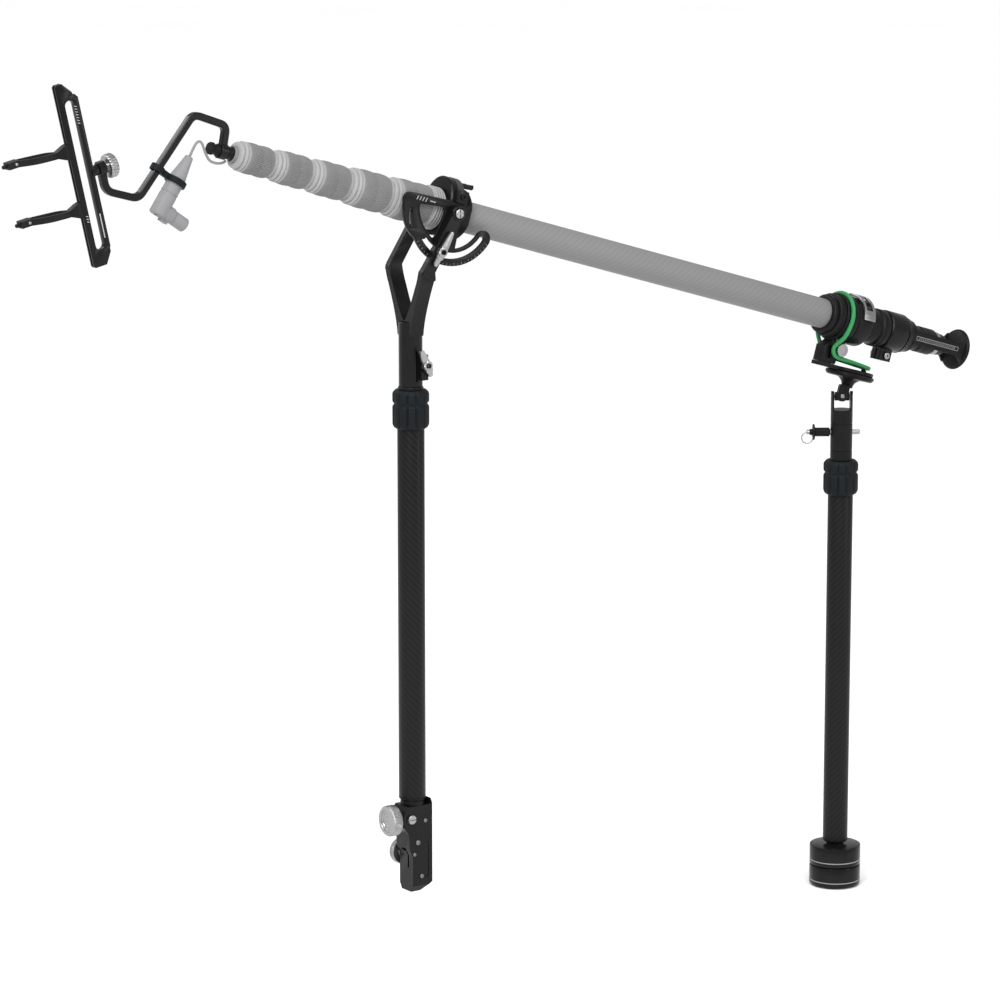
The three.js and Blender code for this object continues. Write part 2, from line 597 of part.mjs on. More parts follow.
// A lyre: a wedge foot on the bar's edge, two thin leaves and an end block with a pin
function addLyre(name, from, height, holder) {
  const foot = shapeOf([[from, -9.5], [from, 9], [from - 4, 8], [from - 17, 2.6], [from - 17, -2.2],
    [from - 5, -7.5]]);
  let body = plate(foot, -4, 4);
  const rise = 6;
  for (const sign of [-1, 1]) {
    const leaf = [[from - 13, sign * 2.4, 0], [from - 24, sign * 7, rise * 0.25],
      [from - 44, sign * 8, rise * 0.55], [from - 66, sign * 4, rise]];
    const section = shapeOf([[-3.6, -1.3], [3.6, -1.3], [3.6, 1.3], [-3.6, 1.3]]);
    body = body.add(bent(leaf, 5, section, 16));
  }
  body = body.add(box(from - 76, from - 62, -6, 6, rise - 3.8, rise + 3.8));
  body = body.add(rod(2.2, from - 81, from - 75, 'x', 10).translate([0, 0, rise]));
  const mesh = piece(name, body, blackPlastic, holder);
  mesh.position.z = height;
}

// Right-angle plug strapped to the offset arm, and the short lead from the boom tip
function addPlug(eyeMiddle, ahead) {
  const plug = new THREE.Group(); // Z from the elbow up to the boot
  const elbow = [ahead - 42.3, -79.5];
  plug.position.set(elbow[0], 0, elbow[1]);
  const lean = Math.atan2(21.1, 64.2);
  plug.rotation.y = lean;
  boom.add(plug);
  const bootFrom = 31;
  const bootTop = 67.6;
  const body = rod(10.2, -8, 22, 'z', 16).add(rod(9.9, 22, bootFrom - gap, 'z', 16));
  const nose = [[0, -2], [9.4, -2], [9.4, 16], [8.2, 17], [8.2, 37], [6.9, 37], [6.9, 30], [0, 30]];
  let housing = body.add(turned(nose, 'x', 18));
  housing = housing.subtract(box(-20, 40, -20, 20, -30, -9.4));
  const corner = box(-30, -3, -20, 20, -30, 0).rotate([0, 45, 0]).translate([-9, 0, -6]);
  housing = housing.subtract(corner).add(box(5, 15, -3.4, 3.4, -11.4, -6));
  piece('plug_housing', housing, greyPlastic, plug);
  const boot = turned([[0, bootFrom], [10.2, bootFrom], [9.8, bootFrom + 8], [4.8, bootTop], [1.9, bootTop],
    [1.9, bootTop - 8], [0, bootTop - 8]], 'z', 18);
  piece('plug_boot', boot, greyPlastic, plug);

  // strap round the plug and the arm
  const strapAt = 31.6;
  const armAway = -28.6; // to the leg of the offset arm beside it
  let strap = pipe(12.6, 10.2 + gap, strapAt, strapAt + 7, 'z', 18);
  const loop = pipe(armBar * 0.95, armBar * 0.72, strapAt, strapAt + 7, 'z', smallSides);
  strap = strap.add(loop.translate([armAway, 0, 0]));
  strap = strap.add(box(armAway + armBar * 0.86, -11.2, -3, 3, strapAt, strapAt + 7));
  piece('plug_strap', strap, rubber, plug);

  // the lead leaves under the tip, rises in a small loop and drops into the boot
  const lead = [[eyeMiddle + 8, -9.4], [eyeMiddle + 4, -12.6], [eyeMiddle - 4, -14.6],
    [ahead + 5, -13.2], [ahead - 2.6, -6], [ahead - 8.8, 2], [ahead - 13.3, 4], [ahead - 16.8, 1],
    [ahead - 19.3, -7], [ahead - 21, -14.5]];
  const through = lead.map(([x, z]) => new THREE.Vector3(x, 0, z));
  const extrudePath = new THREE.CatmullRomCurve3(through, false, 'centripetal');
  const section = roundSection(leadRadius, 6);
  const cable = new THREE.ExtrudeGeometry(section, { steps: 22, extrudePath, bevelEnabled: false });
  piece('mic_lead', solid(cable), greyCable, boom);
}

// Rear clamp with its elastic band and the platform that carries the counterweight
const ringRadius = boomRadius + 11.5;
const platformMiddle = rearRingAt + 68;
const platformTop = -(ringRadius + 28);
const neckRadius = boomRadius + 3.5; // the rear ring's tail, against the butt ring
const discTop = platformTop - 5.4;
const jointAt = rearRingAt + 64; // U-joint: along the boom, and below its axis
const jointBelow = 36 - platformTop;
const bandRadius = 2.7;
const cheekHalf = 8;

function addRearClamp() {
  const bore = boomRadius + gap;
  const front = rearRingAt;
  const groove = front + 25; // middle of the band
  const outer = bore + 8.7;
  const face = turned([[bore, front], [outer - 4.5, front], [outer - 3, front + 1.5],
    [outer - 3, front + 6], [outer - 4, front + 7], [outer - 0.5, front + 8], [outer, front + 9.5],
    [outer, front + 18 - gap], [bore, front + 18 - gap]], 'x');
  piece('rear_front_ring', face, rubber, boom);
  const body = turned([[bore, front + 18], [ringRadius, front + 18], [ringRadius, groove - 4],
    [ringRadius - 2.2, groove - 3], [ringRadius - 2.2, groove + 3], [ringRadius, groove + 4],
    [ringRadius, front + 37], [ringRadius - 1.5, front + 38], [ringRadius, front + 39],
    [ringRadius, front + 60], [ringRadius - 3, front + 64], [neckRadius, front + 64],
    [neckRadius, front + 83.7], [bore, front + 83.7]], 'x');
  // a cheek under the ring carries the band's rollers and the platform
  const base = platformTop;
  const cheek = shapeOf([[front + 20, -20], [front + 44, -20], [front + 40, base + 24], [front + 33, base],
    [front + 10, base], [front + 10, base + 20], [front + 20, base + 28]]);
  let clamp = body.add(plate(cheek, -cheekHalf, cheekHalf));
  clamp = clamp.subtract(rod(bore, front, front + 100, 'x', roundSides));
  clamp = clamp.subtract(box(front + 19, front + 24, -20, 20, base + 6, base + 21));
  const rollerAt = front + 31;
  const rollerHeight = base + 19;
  clamp = clamp.subtract(rod(pinRadius + gap, -30, 30, 'y').translate([rollerAt, 0, rollerHeight]));
  const latchNotch = box(front + 36, front + 63, -16, -1, ringRadius - 3, ringRadius + 5);
  clamp = clamp.subtract(latchNotch.rotate([25, 0, 0]));
  piece('rear_ring', clamp, blackAnodised, boom);

  // rollers on one axle
  const inner = cheekHalf + gap;
  const profile = [[0, 0], [8.4, 0], [8.4, 1.6], [6.6, 2.4], [6.6, 9.2], [8.4, 10], [8.4, 12], [0, 12]];
  const roller = (sign) => turned(profile.map(([r, out]) => [r, sign * (inner + out)]), 'y', 18);
  const axle = rod(pinRadius, -inner - 2, inner + 2, 'y').add(roller(-1)).add(roller(1));
  piece('band_rollers', axle.translate([rollerAt, 0, rollerHeight]), silver, boom);
  addBand(groove, rollerAt, inner + 5.8);
  addLatch(front);
}

// The band runs over the ring, down both sides, round the rollers and back to a hook on the platform
function addBand(groove, rollerAt, rollerY) {
  const r = ringRadius + bandRadius - 1.6;
  const points = [];
  const turns = 9;
  for (let i = 0; i <= turns; i++) {
    const angle = (-1 + (2 * i) / turns) * THREE.MathUtils.degToRad(100);
    points.push(new THREE.Vector3(groove, r * Math.sin(angle), r * Math.cos(angle)));
  }
  const low = platformTop;
  const side = [[groove - 2, ringRadius - 3, low + 36], [rollerAt - 10, rollerY + 0.3, low + 21],
    [rollerAt - 7.4, rollerY, low + 12], [rollerAt + 2, rollerY, low + 9],
    [rollerAt + 30, rollerY - 2, low + 7.5], [rollerAt + 56, 7, low + 6], [rollerAt + 62, 3, low + 5.7]];
  const far = side.map(([x, y, z]) => new THREE.Vector3(x, y, z));
  const near = side.map(([x, y, z]) => new THREE.Vector3(x, -y, z)).reverse();
  const curve = new THREE.CatmullRomCurve3([...near, ...points, ...far], true, 'centripetal');
  piece('elastic_band', ringFrom(curve, bandRadius, 64, 6), greenElastic, boom);
}

// A closed loop of round section: the sweep's first and last rings are one
function ringFrom(curve, radius, steps, sides) {
  const frames = curve.computeFrenetFrames(steps, true);
  const positions = [];
  for (let i = 0; i < steps; i++) {
    const centre = curve.getPointAt(i / steps);
    for (let k = 0; k < sides; k++) {
      const angle = (k / sides) * 2 * Math.PI;
      const out = frames.normals[i].clone().multiplyScalar(radius * Math.cos(angle));
      out.addScaledVector(frames.binormals[i], radius * Math.sin(angle)).add(centre);
      positions.push(out.x, out.y, out.z);
    }
  }
  const index = [];
  for (let i = 0; i < steps; i++) {
    for (let k = 0; k < sides; k++) {
      const a = i * sides + k;
      const b = i * sides + ((k + 1) % sides);
      const c = ((i + 1) % steps) * sides + k;
      const d = ((i + 1) % steps) * sides + ((k + 1) % sides);
      index.push(a, b, c, b, d, c);
    }
  }
  const geometry = new THREE.BufferGeometry();
  geometry.setAttribute('position', new THREE.Float32BufferAttribute(positions, 3));
  geometry.setIndex(index);
  return solid(geometry);
}

// Over-centre latch: a curved silver frame with a window and a serrated tip
function addLatch(front) {
  const outer = ringRadius + 4.2;
  const inner = ringRadius + 1.2;
  const arc = (degrees) => THREE.MathUtils.degToRad(degrees);
  const shape = new THREE.Shape();
  shape.absarc(0, 0, outer, arc(78), arc(172), false);
  shape.absarc(0, 0, inner, arc(172), arc(78), true);
  let latch = crossPlate(shape, front + 42, front + 60);
  const window = new THREE.Shape();
  window.absarc(0, 0, outer + 5, arc(104), arc(150), false);
  window.absarc(0, 0, inner - 5, arc(150), arc(104), true);
  latch = latch.subtract(crossPlate(window, front + 46, front + 56));
  piece('rear_latch', latch, silver, boom);
}

// Platform, disc and stem under the rear clamp; the stem's fork carries the U-joint
const jointFace = THREE.MathUtils.degToRad(-35); // the stem's ears are turned this far about the stem
// the upper pin lies across the ears; the lower pin is level: the arm's heading and the cross's tip follow
const upperPin = new THREE.Vector3(-Math.sin(jointFace) * Math.cos(boomTilt), Math.cos(jointFace),
  Math.sin(jointFace) * Math.sin(boomTilt));
const armHeading = -Math.atan2(upperPin.x, upperPin.y);
const crossTip = Math.asin(upperPin.z);

function addPlatform() {
  const top = platformTop - gap;
  const low = discTop + gap;
  const edge = platformRadius - 2;
  let deck = turned([[0, low], [edge, low], [edge, top - 0.8], [edge - 0.8, top], [0, top]]);
  deck = deck.translate([platformMiddle, 0, 0]);
  deck = deck.add(box(rearRingAt + 10, platformMiddle, -cheekHalf - 1.5, cheekHalf + 1.5, low, top));
  deck = deck.add(rod(3.4, top - 0.5, top + 3.6).translate([rearRingAt + 89, 0, 0])); // the band's hook
  piece('hanger_platform', deck, blackAnodised, boom);

  const bottom = discTop - 6.4;
  const r = platformRadius;
  let disc = turned([[0, bottom], [r - 3, bottom], [r - 1.4, bottom + 1.4], [r, bottom + 2], [r, discTop],
    [0, discTop]]);
  disc = disc.add(turned([[0, bottom - 12], [7, bottom - 12], [7.6, bottom - 8], [11, bottom - 3],
    [17, bottom + 1], [0, bottom + 1]], 'z', 16));
  disc = disc.translate([platformMiddle - jointAt, 0, 0]);
  piece('hanger_disc', disc.add(stemEars(bottom)).translate([jointAt, 0, 0]), blackAnodised, boom);
}

const earFrom = 5.8 + gap; // two thin ears either side of the joint's cross
const earTo = 9.4;
const earHalf = 6.6;

function stemEars(bottom) {
  let ears = null;
  for (const sign of [-1, 1]) {
    const y0 = sign > 0 ? earFrom : -earTo;
    const shape = new THREE.Shape();
    shape.moveTo(-earHalf, bottom - 12);
    shape.lineTo(-earHalf, -jointBelow);
    shape.absarc(0, -jointBelow, earHalf, Math.PI, 2 * Math.PI, false);
    shape.lineTo(earHalf, bottom - 12);
    const ear = plate(shape, y0, y0 + earTo - earFrom, 8);
    ears = ears ? ears.add(ear) : ear;
  }
  ears = ears.add(box(-earHalf, earHalf, -earTo, earTo, bottom - 12.4, bottom - 10));
  ears = ears.subtract(rod(boltRadius + gap, -20, 20, 'y').translate([0, 0, -jointBelow]));
  return ears.rotate([0, 0, THREE.MathUtils.radToDeg(jointFace)]);
}

function addTail() {
  const from = rearRingAt + 84;
  const bore = boomRadius + gap;
  const buttRadius = bore + 5.2;
  const butt = turned([[bore, from], [buttRadius - 3, from], [buttRadius, from + 2],
    [buttRadius, from + 12], [buttRadius - 1.5, from + 15.4], [bore, from + 15.4]], 'x');
  piece('boom_butt_ring', butt, rubber, boom);
  const clampFrom = from + 15.7;
  const clampTo = clampFrom + 37;
  const clampRadius = bore + 6.2;
  const screwHeight = -clampRadius - 6;
  let clamp = turned([[bore, clampFrom], [clampRadius - 1.5, clampFrom], [clampRadius, clampFrom + 1.5],
    [clampRadius, clampTo - 8], [clampRadius - 2.5, clampTo - 4], [clampRadius - 2.5, clampTo],
    [bore, clampTo]], 'x');
  clamp = clamp.add(box(clampFrom + 2, clampFrom + 20, -9, 9, screwHeight - 7, screwHeight + 10));
  clamp = clamp.subtract(rod(bore, clampFrom - 5, clampTo + 5, 'x', roundSides));
  clamp = clamp.subtract(box(clampFrom - 1, clampFrom + 28, -1.2, 1.2, screwHeight - 9, -15));
  clamp = clamp.subtract(box(clampFrom + 27, clampFrom + 29, -30, 30, screwHeight - 9, 6));
  clamp = clamp.subtract(rod(boltRadius + gap, -20, 20, 'y').translate([clampFrom + 11, 0, screwHeight]));
  piece('tail_clamp', clamp, blackAnodised, boom);
  const screw = turned([[0, -12.6], [3.6, -12.6], [4.2, -12], [4.2, -9 - gap], [boltRadius, -9 - gap],
    [boltRadius, 9 + gap], [6, 9 + gap], [6, 15], [0, 15]], 'y', smallSides);
  piece('tail_clamp_screw', screw.translate([clampFrom + 11, 0, screwHeight]), silver, boom);

  // connector block inside a cage of two blades and an end disc
  const cageFrom = clampTo + gap;
  const cageRadius = 20.4;
  const blockTo = cageFrom + 68;
  const block = turned([[0, cageFrom + 0.5], [16, cageFrom + 0.5], [16, cageFrom + 20], [14.5, cageFrom + 21],
    [16.4, cageFrom + 23], [16.4, cageFrom + 46], [13.5, cageFrom + 48], [13.5, blockTo - 6], [12, blockTo],
    [0, blockTo]], 'x', 18);
  piece('tail_connector_block', block, blackPlastic, boom);
  const discFrom = cageFrom + 90;
  let cage = pipe(cageRadius, 16.4 + gap, cageFrom, cageFrom + 8, 'x');
  const blade = shapeOf([[cageFrom + 4, -8.6], [cageFrom + 78, -8.6], [cageFrom + 86, -11],
    [discFrom + 1, -19], [discFrom + 1, 19], [cageFrom + 86, 11], [cageFrom + 78, 8.6], [cageFrom + 4, 8.6]]);
  for (const y of [-cageRadius + 0.4, 16.4 + gap]) cage = cage.add(plate(blade, y, y + 3.3));
  cage = cage.intersect(rod(26.4, cageFrom - 1, discFrom + 20, 'x', roundSides));
  cage = cage.add(turned([[0, discFrom], [22, discFrom], [25.2, discFrom + 1.6], [26, discFrom + 3.4],
    [25.4, discFrom + 4.6], [20, discFrom + 3.8], [0, discFrom + 3.6]], 'x'));
  piece('tail_cage', cage, blackAnodised, boom);
}

// Counterweight arm: hangs plumb from the U-joint, its cheeks turned to the joint's face
function addCounterArm() {
  const level = new THREE.Vector3(0, 1, 0);
  const hang = new THREE.Vector3(jointAt, 0, -jointBelow).applyAxisAngle(level, boomTilt);
  const arm = new THREE.Group();
  arm.position.set(forkReach + hang.x, 0, pivotHeight + hang.z);
  arm.rotation.z = armHeading;
  rig.add(arm);

  const headRadius = innerRadius + gap;
  const cheekInner = headRadius - 3.6;
  const reach = headRadius - 0.6;
  const block = box(1.2 - cheekInner, cheekInner - 1.2, gap - earFrom, earFrom - gap, -5.4, 5.4);
  const pins = rod(boltRadius, -earTo - 0.6, earTo + 0.6, 'y').add(rod(boltRadius, -reach, reach, 'x'));
  const cross = block.add(pins);
  piece('joint_cross', cross, blackAnodised, arm).rotation.x = crossTip;

  const windowBottom = -16.5;
  const headBottom = -81;
  const cheek = new THREE.Shape();
  cheek.moveTo(-8, windowBottom - 1);
  cheek.lineTo(-6.6, 0);
  cheek.absarc(0, 0, 6.6, Math.PI, 0, true);
  cheek.lineTo(8, windowBottom - 1);
  let head = rod(headRadius, headBottom, windowBottom, 'z', roundSides);
  const envelope = rod(headRadius, headBottom, 20, 'z', roundSides);
  for (const x of [-headRadius, cheekInner]) {
    const side = crossPlate(cheek, x, x + headRadius - cheekInner);
    head = head.add(side.intersect(envelope));
  }
  head = head.subtract(rod(boltRadius + gap, -20, 20, 'x'));
  const spigot = innerRadius - 3;
  head = head.subtract(rod(spigot + gap, headBottom - 1, windowBottom - 6, 'z', roundSides));
  const pinDrop = -45.5;
  head = head.subtract(rod(pinRadius + gap, -30, 30, 'x').translate([0, 0, pinDrop]));
  piece('arm_head', head, blackAnodised, arm);

  const spigotTop = windowBottom - 7;
  const collarTopAt = headBottom - gap;
  const tubeTop = collarTopAt - 34;
  const innerEnd = tubeTop - 320;
  let inner = turned([[0, spigotTop], [spigot, spigotTop], [spigot, headBottom - gap],
    [innerRadius, headBottom - gap], [innerRadius, innerEnd], [innerRadius - 1.6, innerEnd],
    [innerRadius - 1.6, headBottom - 12], [0, headBottom - 12]]);
  inner = inner.subtract(rod(pinRadius + gap, -30, 30, 'x').translate([0, 0, pinDrop]));
  piece('arm_inner_tube', inner, blackAnodised, arm);

  const pinBody = turned([[0, 23], [pinRadius, 22], [pinRadius, -headRadius - gap],
    [5.6, -headRadius - gap - 1.5], [5.6, -33], [10.2, -34], [10.2, -36], [4, -36.6], [3, -44],
    [0, -44]].reverse(), 'x', smallSides);
  const pin = piece('arm_lock_pin', pinBody, silver, arm);
  pin.position.z = pinDrop;

  const collarBottomAt = collarTopAt - 43.5;
  const seat = collarTopAt - tubeTop;
  lockCollar('arm_lock_collar', armRadius, armRadius + 6.1, collarBottomAt, 43.5, 43.5 - seat + gap, arm);
  const tubeBottom = tubeTop - armLength;
  const tube = turned([[armRadius - tubeWall, tubeTop], [armRadius, tubeTop], [armRadius, tubeBottom + 2],
    [armRadius - 1.8, tubeBottom], [0, tubeBottom], [0, tubeBottom + 5],
    [armRadius - tubeWall, tubeBottom + 5]]);
  piece('arm_outer_tube', tube, carbon, arm);

  let top = tubeBottom - gap;
  const neck = 3;
  ['upper', 'lower'].forEach((place, i) => {
    const r = weightRadius;
    const bottom = top - (i === 0 ? neck : 0) - weightHeight;
    const shoulder = bottom + weightHeight;
    const outline = [[0, bottom], [r - 1.4, bottom], [r, bottom + 1.4], [r, bottom + 5],
      [r - 0.5, bottom + 5.5], [r - 0.5, bottom + 6.5], [r, bottom + 7], [r, shoulder - 1.4],
      [r - 1.4, shoulder]];
    if (i === 0) outline.push([11, shoulder], [11, top], [0, top]);
    else outline.push([0, shoulder]);
    piece(`weight_${place}`, turned(outline), weightSteel, arm);
    top = bottom - gap - 0.4;
  });
}

addBase();
addMast();
addFork();
addLevers();
addQuadrant();
addCradle();
const tipFront = addBoom();
addTip(tipFront);
addSuspension();
addRearClamp();
addPlatform();
addTail();
addCounterArm();

export default group;
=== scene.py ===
import bpy
import bmesh
import math
from mathutils import Matrix, Vector
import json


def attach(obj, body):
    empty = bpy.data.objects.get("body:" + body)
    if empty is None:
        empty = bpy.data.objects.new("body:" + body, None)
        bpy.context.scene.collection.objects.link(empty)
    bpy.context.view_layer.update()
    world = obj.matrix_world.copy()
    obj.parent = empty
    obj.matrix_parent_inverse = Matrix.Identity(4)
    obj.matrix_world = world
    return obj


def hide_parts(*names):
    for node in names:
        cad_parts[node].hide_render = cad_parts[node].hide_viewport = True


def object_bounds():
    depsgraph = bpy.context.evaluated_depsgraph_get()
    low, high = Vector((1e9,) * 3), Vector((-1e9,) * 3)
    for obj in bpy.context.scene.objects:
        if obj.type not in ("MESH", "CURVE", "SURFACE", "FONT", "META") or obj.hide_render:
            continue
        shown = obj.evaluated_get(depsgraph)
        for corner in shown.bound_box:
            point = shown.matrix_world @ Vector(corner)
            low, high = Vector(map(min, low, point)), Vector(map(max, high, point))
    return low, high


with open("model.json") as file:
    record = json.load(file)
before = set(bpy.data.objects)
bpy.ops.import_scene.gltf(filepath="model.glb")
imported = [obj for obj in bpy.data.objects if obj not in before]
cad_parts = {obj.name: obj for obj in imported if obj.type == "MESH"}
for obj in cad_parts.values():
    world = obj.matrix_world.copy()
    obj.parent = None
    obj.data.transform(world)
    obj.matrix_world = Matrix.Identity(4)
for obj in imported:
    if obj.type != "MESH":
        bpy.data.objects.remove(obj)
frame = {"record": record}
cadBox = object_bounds()
scene = bpy.context.scene
mm = 0.001  # sizes below are in mm until a mesh is finished
gap = 0.3
tau = 2 * math.pi


def jointPlace(name):
    for joint in frame["record"]["behaviour"]["joints"]:
        if joint["name"] == name:
            return Vector(joint["pos_m"]) / mm
    raise ValueError(name)


# frames: rig's Z is the mast, boom's X runs from the pivot towards the tail
mastAxis = -19.0
boomTilt = math.radians(16.6)
rig = Matrix.Translation((mastAxis, 0, 0))
boom = Matrix.Translation(jointPlace("boom_tilt")) @ Matrix.Rotation(boomTilt, 4, "Y")
pivotReach = jointPlace("boom_tilt").x - mastAxis
pivotHeight = jointPlace("boom_tilt").z


view = {"place": (-2.7726, -4.1143, 1.3964), "turn": (78.85, 0.0, -35.0), "lens": 154.8}
light = {"key": 40.0, "fill": 15.0, "rim": 20.0, "sun": 2.0, "world": 0.62}


def addCamera():
    data = bpy.data.cameras.new("camera")
    data.lens = view["lens"]
    data.sensor_width = 36.0
    data.clip_end = 120.0
    camera = bpy.data.objects.new("camera", data)
    camera.location = view["place"]
    camera.rotation_euler = [math.radians(a) for a in view["turn"]]
    scene.collection.objects.link(camera)
    scene.camera = camera


def addLamp(name, place, target, size, power):
    data = bpy.data.lights.new(name, "AREA")
    data.shape = "RECTANGLE"
    data.size, data.size_y = size
    data.energy = power
    lamp = bpy.data.objects.new(name, data)
    lamp.location = place
    lamp.rotation_euler = (Vector(target) - Vector(place)).to_track_quat("-Z", "Y").to_euler()
    scene.collection.objects.link(lamp)


def addStudio():
    addLamp("key", (-1.9, -1.6, 2.4), (0.2, 0, 0.5), (0.7, 1.3), light["key"])
    addLamp("fill", (1.7, -2.6, 1.3), (0.3, 0, 0.5), (0.35, 1.8), light["fill"])
    addLamp("rim", (-1.2, 2.2, 2.4), (0.2, 0, 0.6), (1.8, 0.5), light["rim"])
    # a broad soft sun keeps the far floor as light as the near floor
    sun = bpy.data.lights.new("sun", "SUN")
    sun.energy = light["sun"]
    sun.angle = math.radians(50)
    lamp = bpy.data.objects.new("sun", sun)
    lamp.rotation_euler = [math.radians(a) for a in (28, -22, 0)]
    scene.collection.objects.link(lamp)
    world = bpy.data.worlds.new("studio")
    world.use_nodes = True
    world.node_tree.nodes["Background"].inputs[0].default_value = (1, 1, 1, 1)
    world.node_tree.nodes["Background"].inputs[1].default_value = light["world"]
    scene.world = world
    scene.view_settings.view_transform = "Standard"


class Wire:

    def __init__(self, tree, socket):
        self.tree = tree
        self.socket = socket

    def maths(self, operation, *others):
        node = self.tree.nodes.new("ShaderNodeMath")
        node.operation = operation
        for place, value in zip(node.inputs, (self,) + others):
            feed(self.tree, place, value)
        return Wire(self.tree, node.outputs[0])

    def __add__(self, other): return self.maths("ADD", other)
    def __sub__(self, other): return self.maths("SUBTRACT", other)
    def __mul__(self, other): return self.maths("MULTIPLY", other)
    def __truediv__(self, other): return self.maths("DIVIDE", other)
    def __mod__(self, other): return self.maths("FLOORED_MODULO", other)
    def __pow__(self, other): return self.maths("POWER", other)
    def __lt__(self, other): return self.maths("LESS_THAN", other)
    def __gt__(self, other): return self.maths("GREATER_THAN", other)
    def __radd__(self, other): return self + other
    def __rmul__(self, other): return self * other
    def __rsub__(self, other): return (self * -1.0) + other
    def __rtruediv__(self, other): return (self ** -1.0) * other
    def __neg__(self): return self * -1.0
    def floor(self): return self.maths("FLOOR")
    def wave(self): return self.maths("SINE")
    def size(self): return self.maths("ABSOLUTE")


def feed(tree, place, value):
    if isinstance(value, Wire):
        tree.links.new(value.socket, place)
    elif isinstance(value, tuple) and len(value) == 3 and place.type == "RGBA":
        place.default_value = (*value, 1.0)
    else:
        place.default_value = value


class Finish:

    def __init__(self, name, slot):
        self.material = bpy.data.materials.new(name)
        self.material.use_nodes = True
        self.tree = self.material.node_tree
        self.surface = self.tree.nodes["Principled BSDF"]
        self.slot = slot

    def node(self, kind, settings=None, output=0, **inputs):
        made = self.tree.nodes.new(kind)
        for key, value in (settings or {}).items():
            setattr(made, key, value)
        for key, value in inputs.items():
            feed(self.tree, made.inputs[key.replace("_", " ")], value)
        return Wire(self.tree, made.outputs[output])

    def place(self):
        return self.node("ShaderNodeTexCoord", output=3)

    def around(self):
        parts = self.tree.nodes.new("ShaderNodeSeparateXYZ")
        feed(self.tree, parts.inputs[0], self.node("ShaderNodeTexCoord", output=2))
        return Wire(self.tree, parts.outputs[0]), Wire(self.tree, parts.outputs[1])

    def noise(self, scale, detail=3.0, rough=0.5):
        return self.node("ShaderNodeTexNoise", Vector=self.place(), Scale=scale, Detail=detail, Roughness=rough)

    def mix(self, factor, a, b):
        made = self.tree.nodes.new("ShaderNodeMix")
        made.data_type = "RGBA"
        feed(self.tree, made.inputs[0], factor)
        feed(self.tree, made.inputs[6], a)
        feed(self.tree, made.inputs[7], b)
        return Wire(self.tree, made.outputs[2])

    def between(self, value, low, high):
        return value * (high - low) + low

    def bump(self, height, depth, strength=1.0):
        return self.node("ShaderNodeBump", Height=height, Distance=depth * mm, Strength=strength)

    def set(self, **inputs):
        for key, value in inputs.items():
            feed(self.tree, self.surface.inputs[key.replace("_", " ")], value)
        return self


def shade(value):
    return (value, value, value)


def anodised(name, dark=0.004, pale=0.011, rough=0.34, slot="black_anodised", shine=0.1):
    f = Finish(name, slot)
    grain = f.noise(2600.0, 2.0)
    wear = f.noise(38.0, 4.0, 0.6)
    f.set(Base_Color=f.mix(wear, shade(dark), shade(pale)),
          Roughness=f.between(wear, rough - 0.08, rough + 0.1),
          Normal=f.bump(grain, 0.03, 0.5), Specular_IOR_Level=shine)
    return f


def machined(name, tone=0.36, rough=0.24, slot="silver"):
    f = Finish(name, slot)
    grain = f.noise(900.0, 3.0)
    haze = f.noise(60.0, 4.0)
    _, along = f.around()
    lines = (along * 9.0).wave()
    f.set(Base_Color=f.mix(haze, shade(tone * 0.8), shade(tone)),
          Roughness=f.between(haze, rough, rough + 0.16),
          Normal=f.bump(lines * 0.3 + grain, 0.02, 0.4), Metallic=1.0)
    return f


def moulded(name, color, lift, rough, slot, grain=1500.0, depth=0.05):
    f = Finish(name, slot)
    fine = f.noise(grain, 2.0)
    soft = f.noise(45.0, 3.0)
    pale = tuple(min(1.0, c * lift) for c in color)
    f.set(Base_Color=f.mix(soft, color, pale), Roughness=f.between(soft, rough - 0.07, rough + 0.07),
          Normal=f.bump(fine, depth, 0.6), Specular_IOR_Level=0.12)
    return f


def woven(name, dark, pale, cells, rough, slot, contrast=1.0, depth=0.05):
    f = Finish(name, slot)
    turn, along = f.around()
    u = turn * float(cells)
    v = along * float(cells)
    over = ((u.floor() + v.floor()) % 4.0) < 1.9
    crown = ((u % 1.0 - 0.5).size() * -2.0 + 1.0)
    crownAcross = ((v % 1.0 - 0.5).size() * -2.0 + 1.0)
    height = over * crown + (1.0 - over) * crownAcross
    fibre = (v * 40.0).wave() * over + (u * 40.0).wave() * (1.0 - over)
    cloud = f.noise(25.0, 3.0)
    # painted shade: through the height term, each strand's crest is painted lighter and the dips between
    # strands darker, on top of the twill's over/under tone and a random cloud
    tone = over * contrast * 0.7 + height * 0.2 + cloud * 0.1
    f.set(Base_Color=f.mix(tone, dark, pale), Roughness=f.between(over, rough, rough + 0.12),
          Normal=f.bump(height + fibre * 0.05, depth, 0.5), Specular_IOR_Level=0.12)
    return f


def ribbedGrip(name, dark, pale, slot="grey_grip"):
    f = Finish(name, slot)
    fine = f.noise(1200.0, 2.0)
    dust = f.noise(80.0, 5.0, 0.7)
    f.set(Base_Color=f.mix(dust, dark, pale), Roughness=f.between(dust, 0.5, 0.68),
          Normal=f.bump(fine, 0.04, 0.6))
    return f


def elasticWeave(name, dark, pale):
    f = Finish(name, "green_elastic")
    turn, along = f.around()
    one = ((turn * 8.0 + along * 0.55) % 1.0) < 0.5
    two = ((turn * 8.0 - along * 0.55) % 1.0) < 0.5
    strand = ((turn * 8.0 + along * 0.55) * tau).wave() * 0.5 + ((turn * 8.0 - along * 0.55) * tau).wave() * 0.5
    f.set(Base_Color=f.mix(one * 0.5 + two * 0.5, dark, pale), Roughness=0.62,
          Normal=f.bump(strand, 0.12, 0.8))
    return f


def floorPaint():
    f = Finish("floor_paint", None)
    cloud = f.noise(2.0, 3.0)
    f.set(Base_Color=f.mix(cloud, shade(0.91), shade(0.94)), Roughness=0.6)
    return f


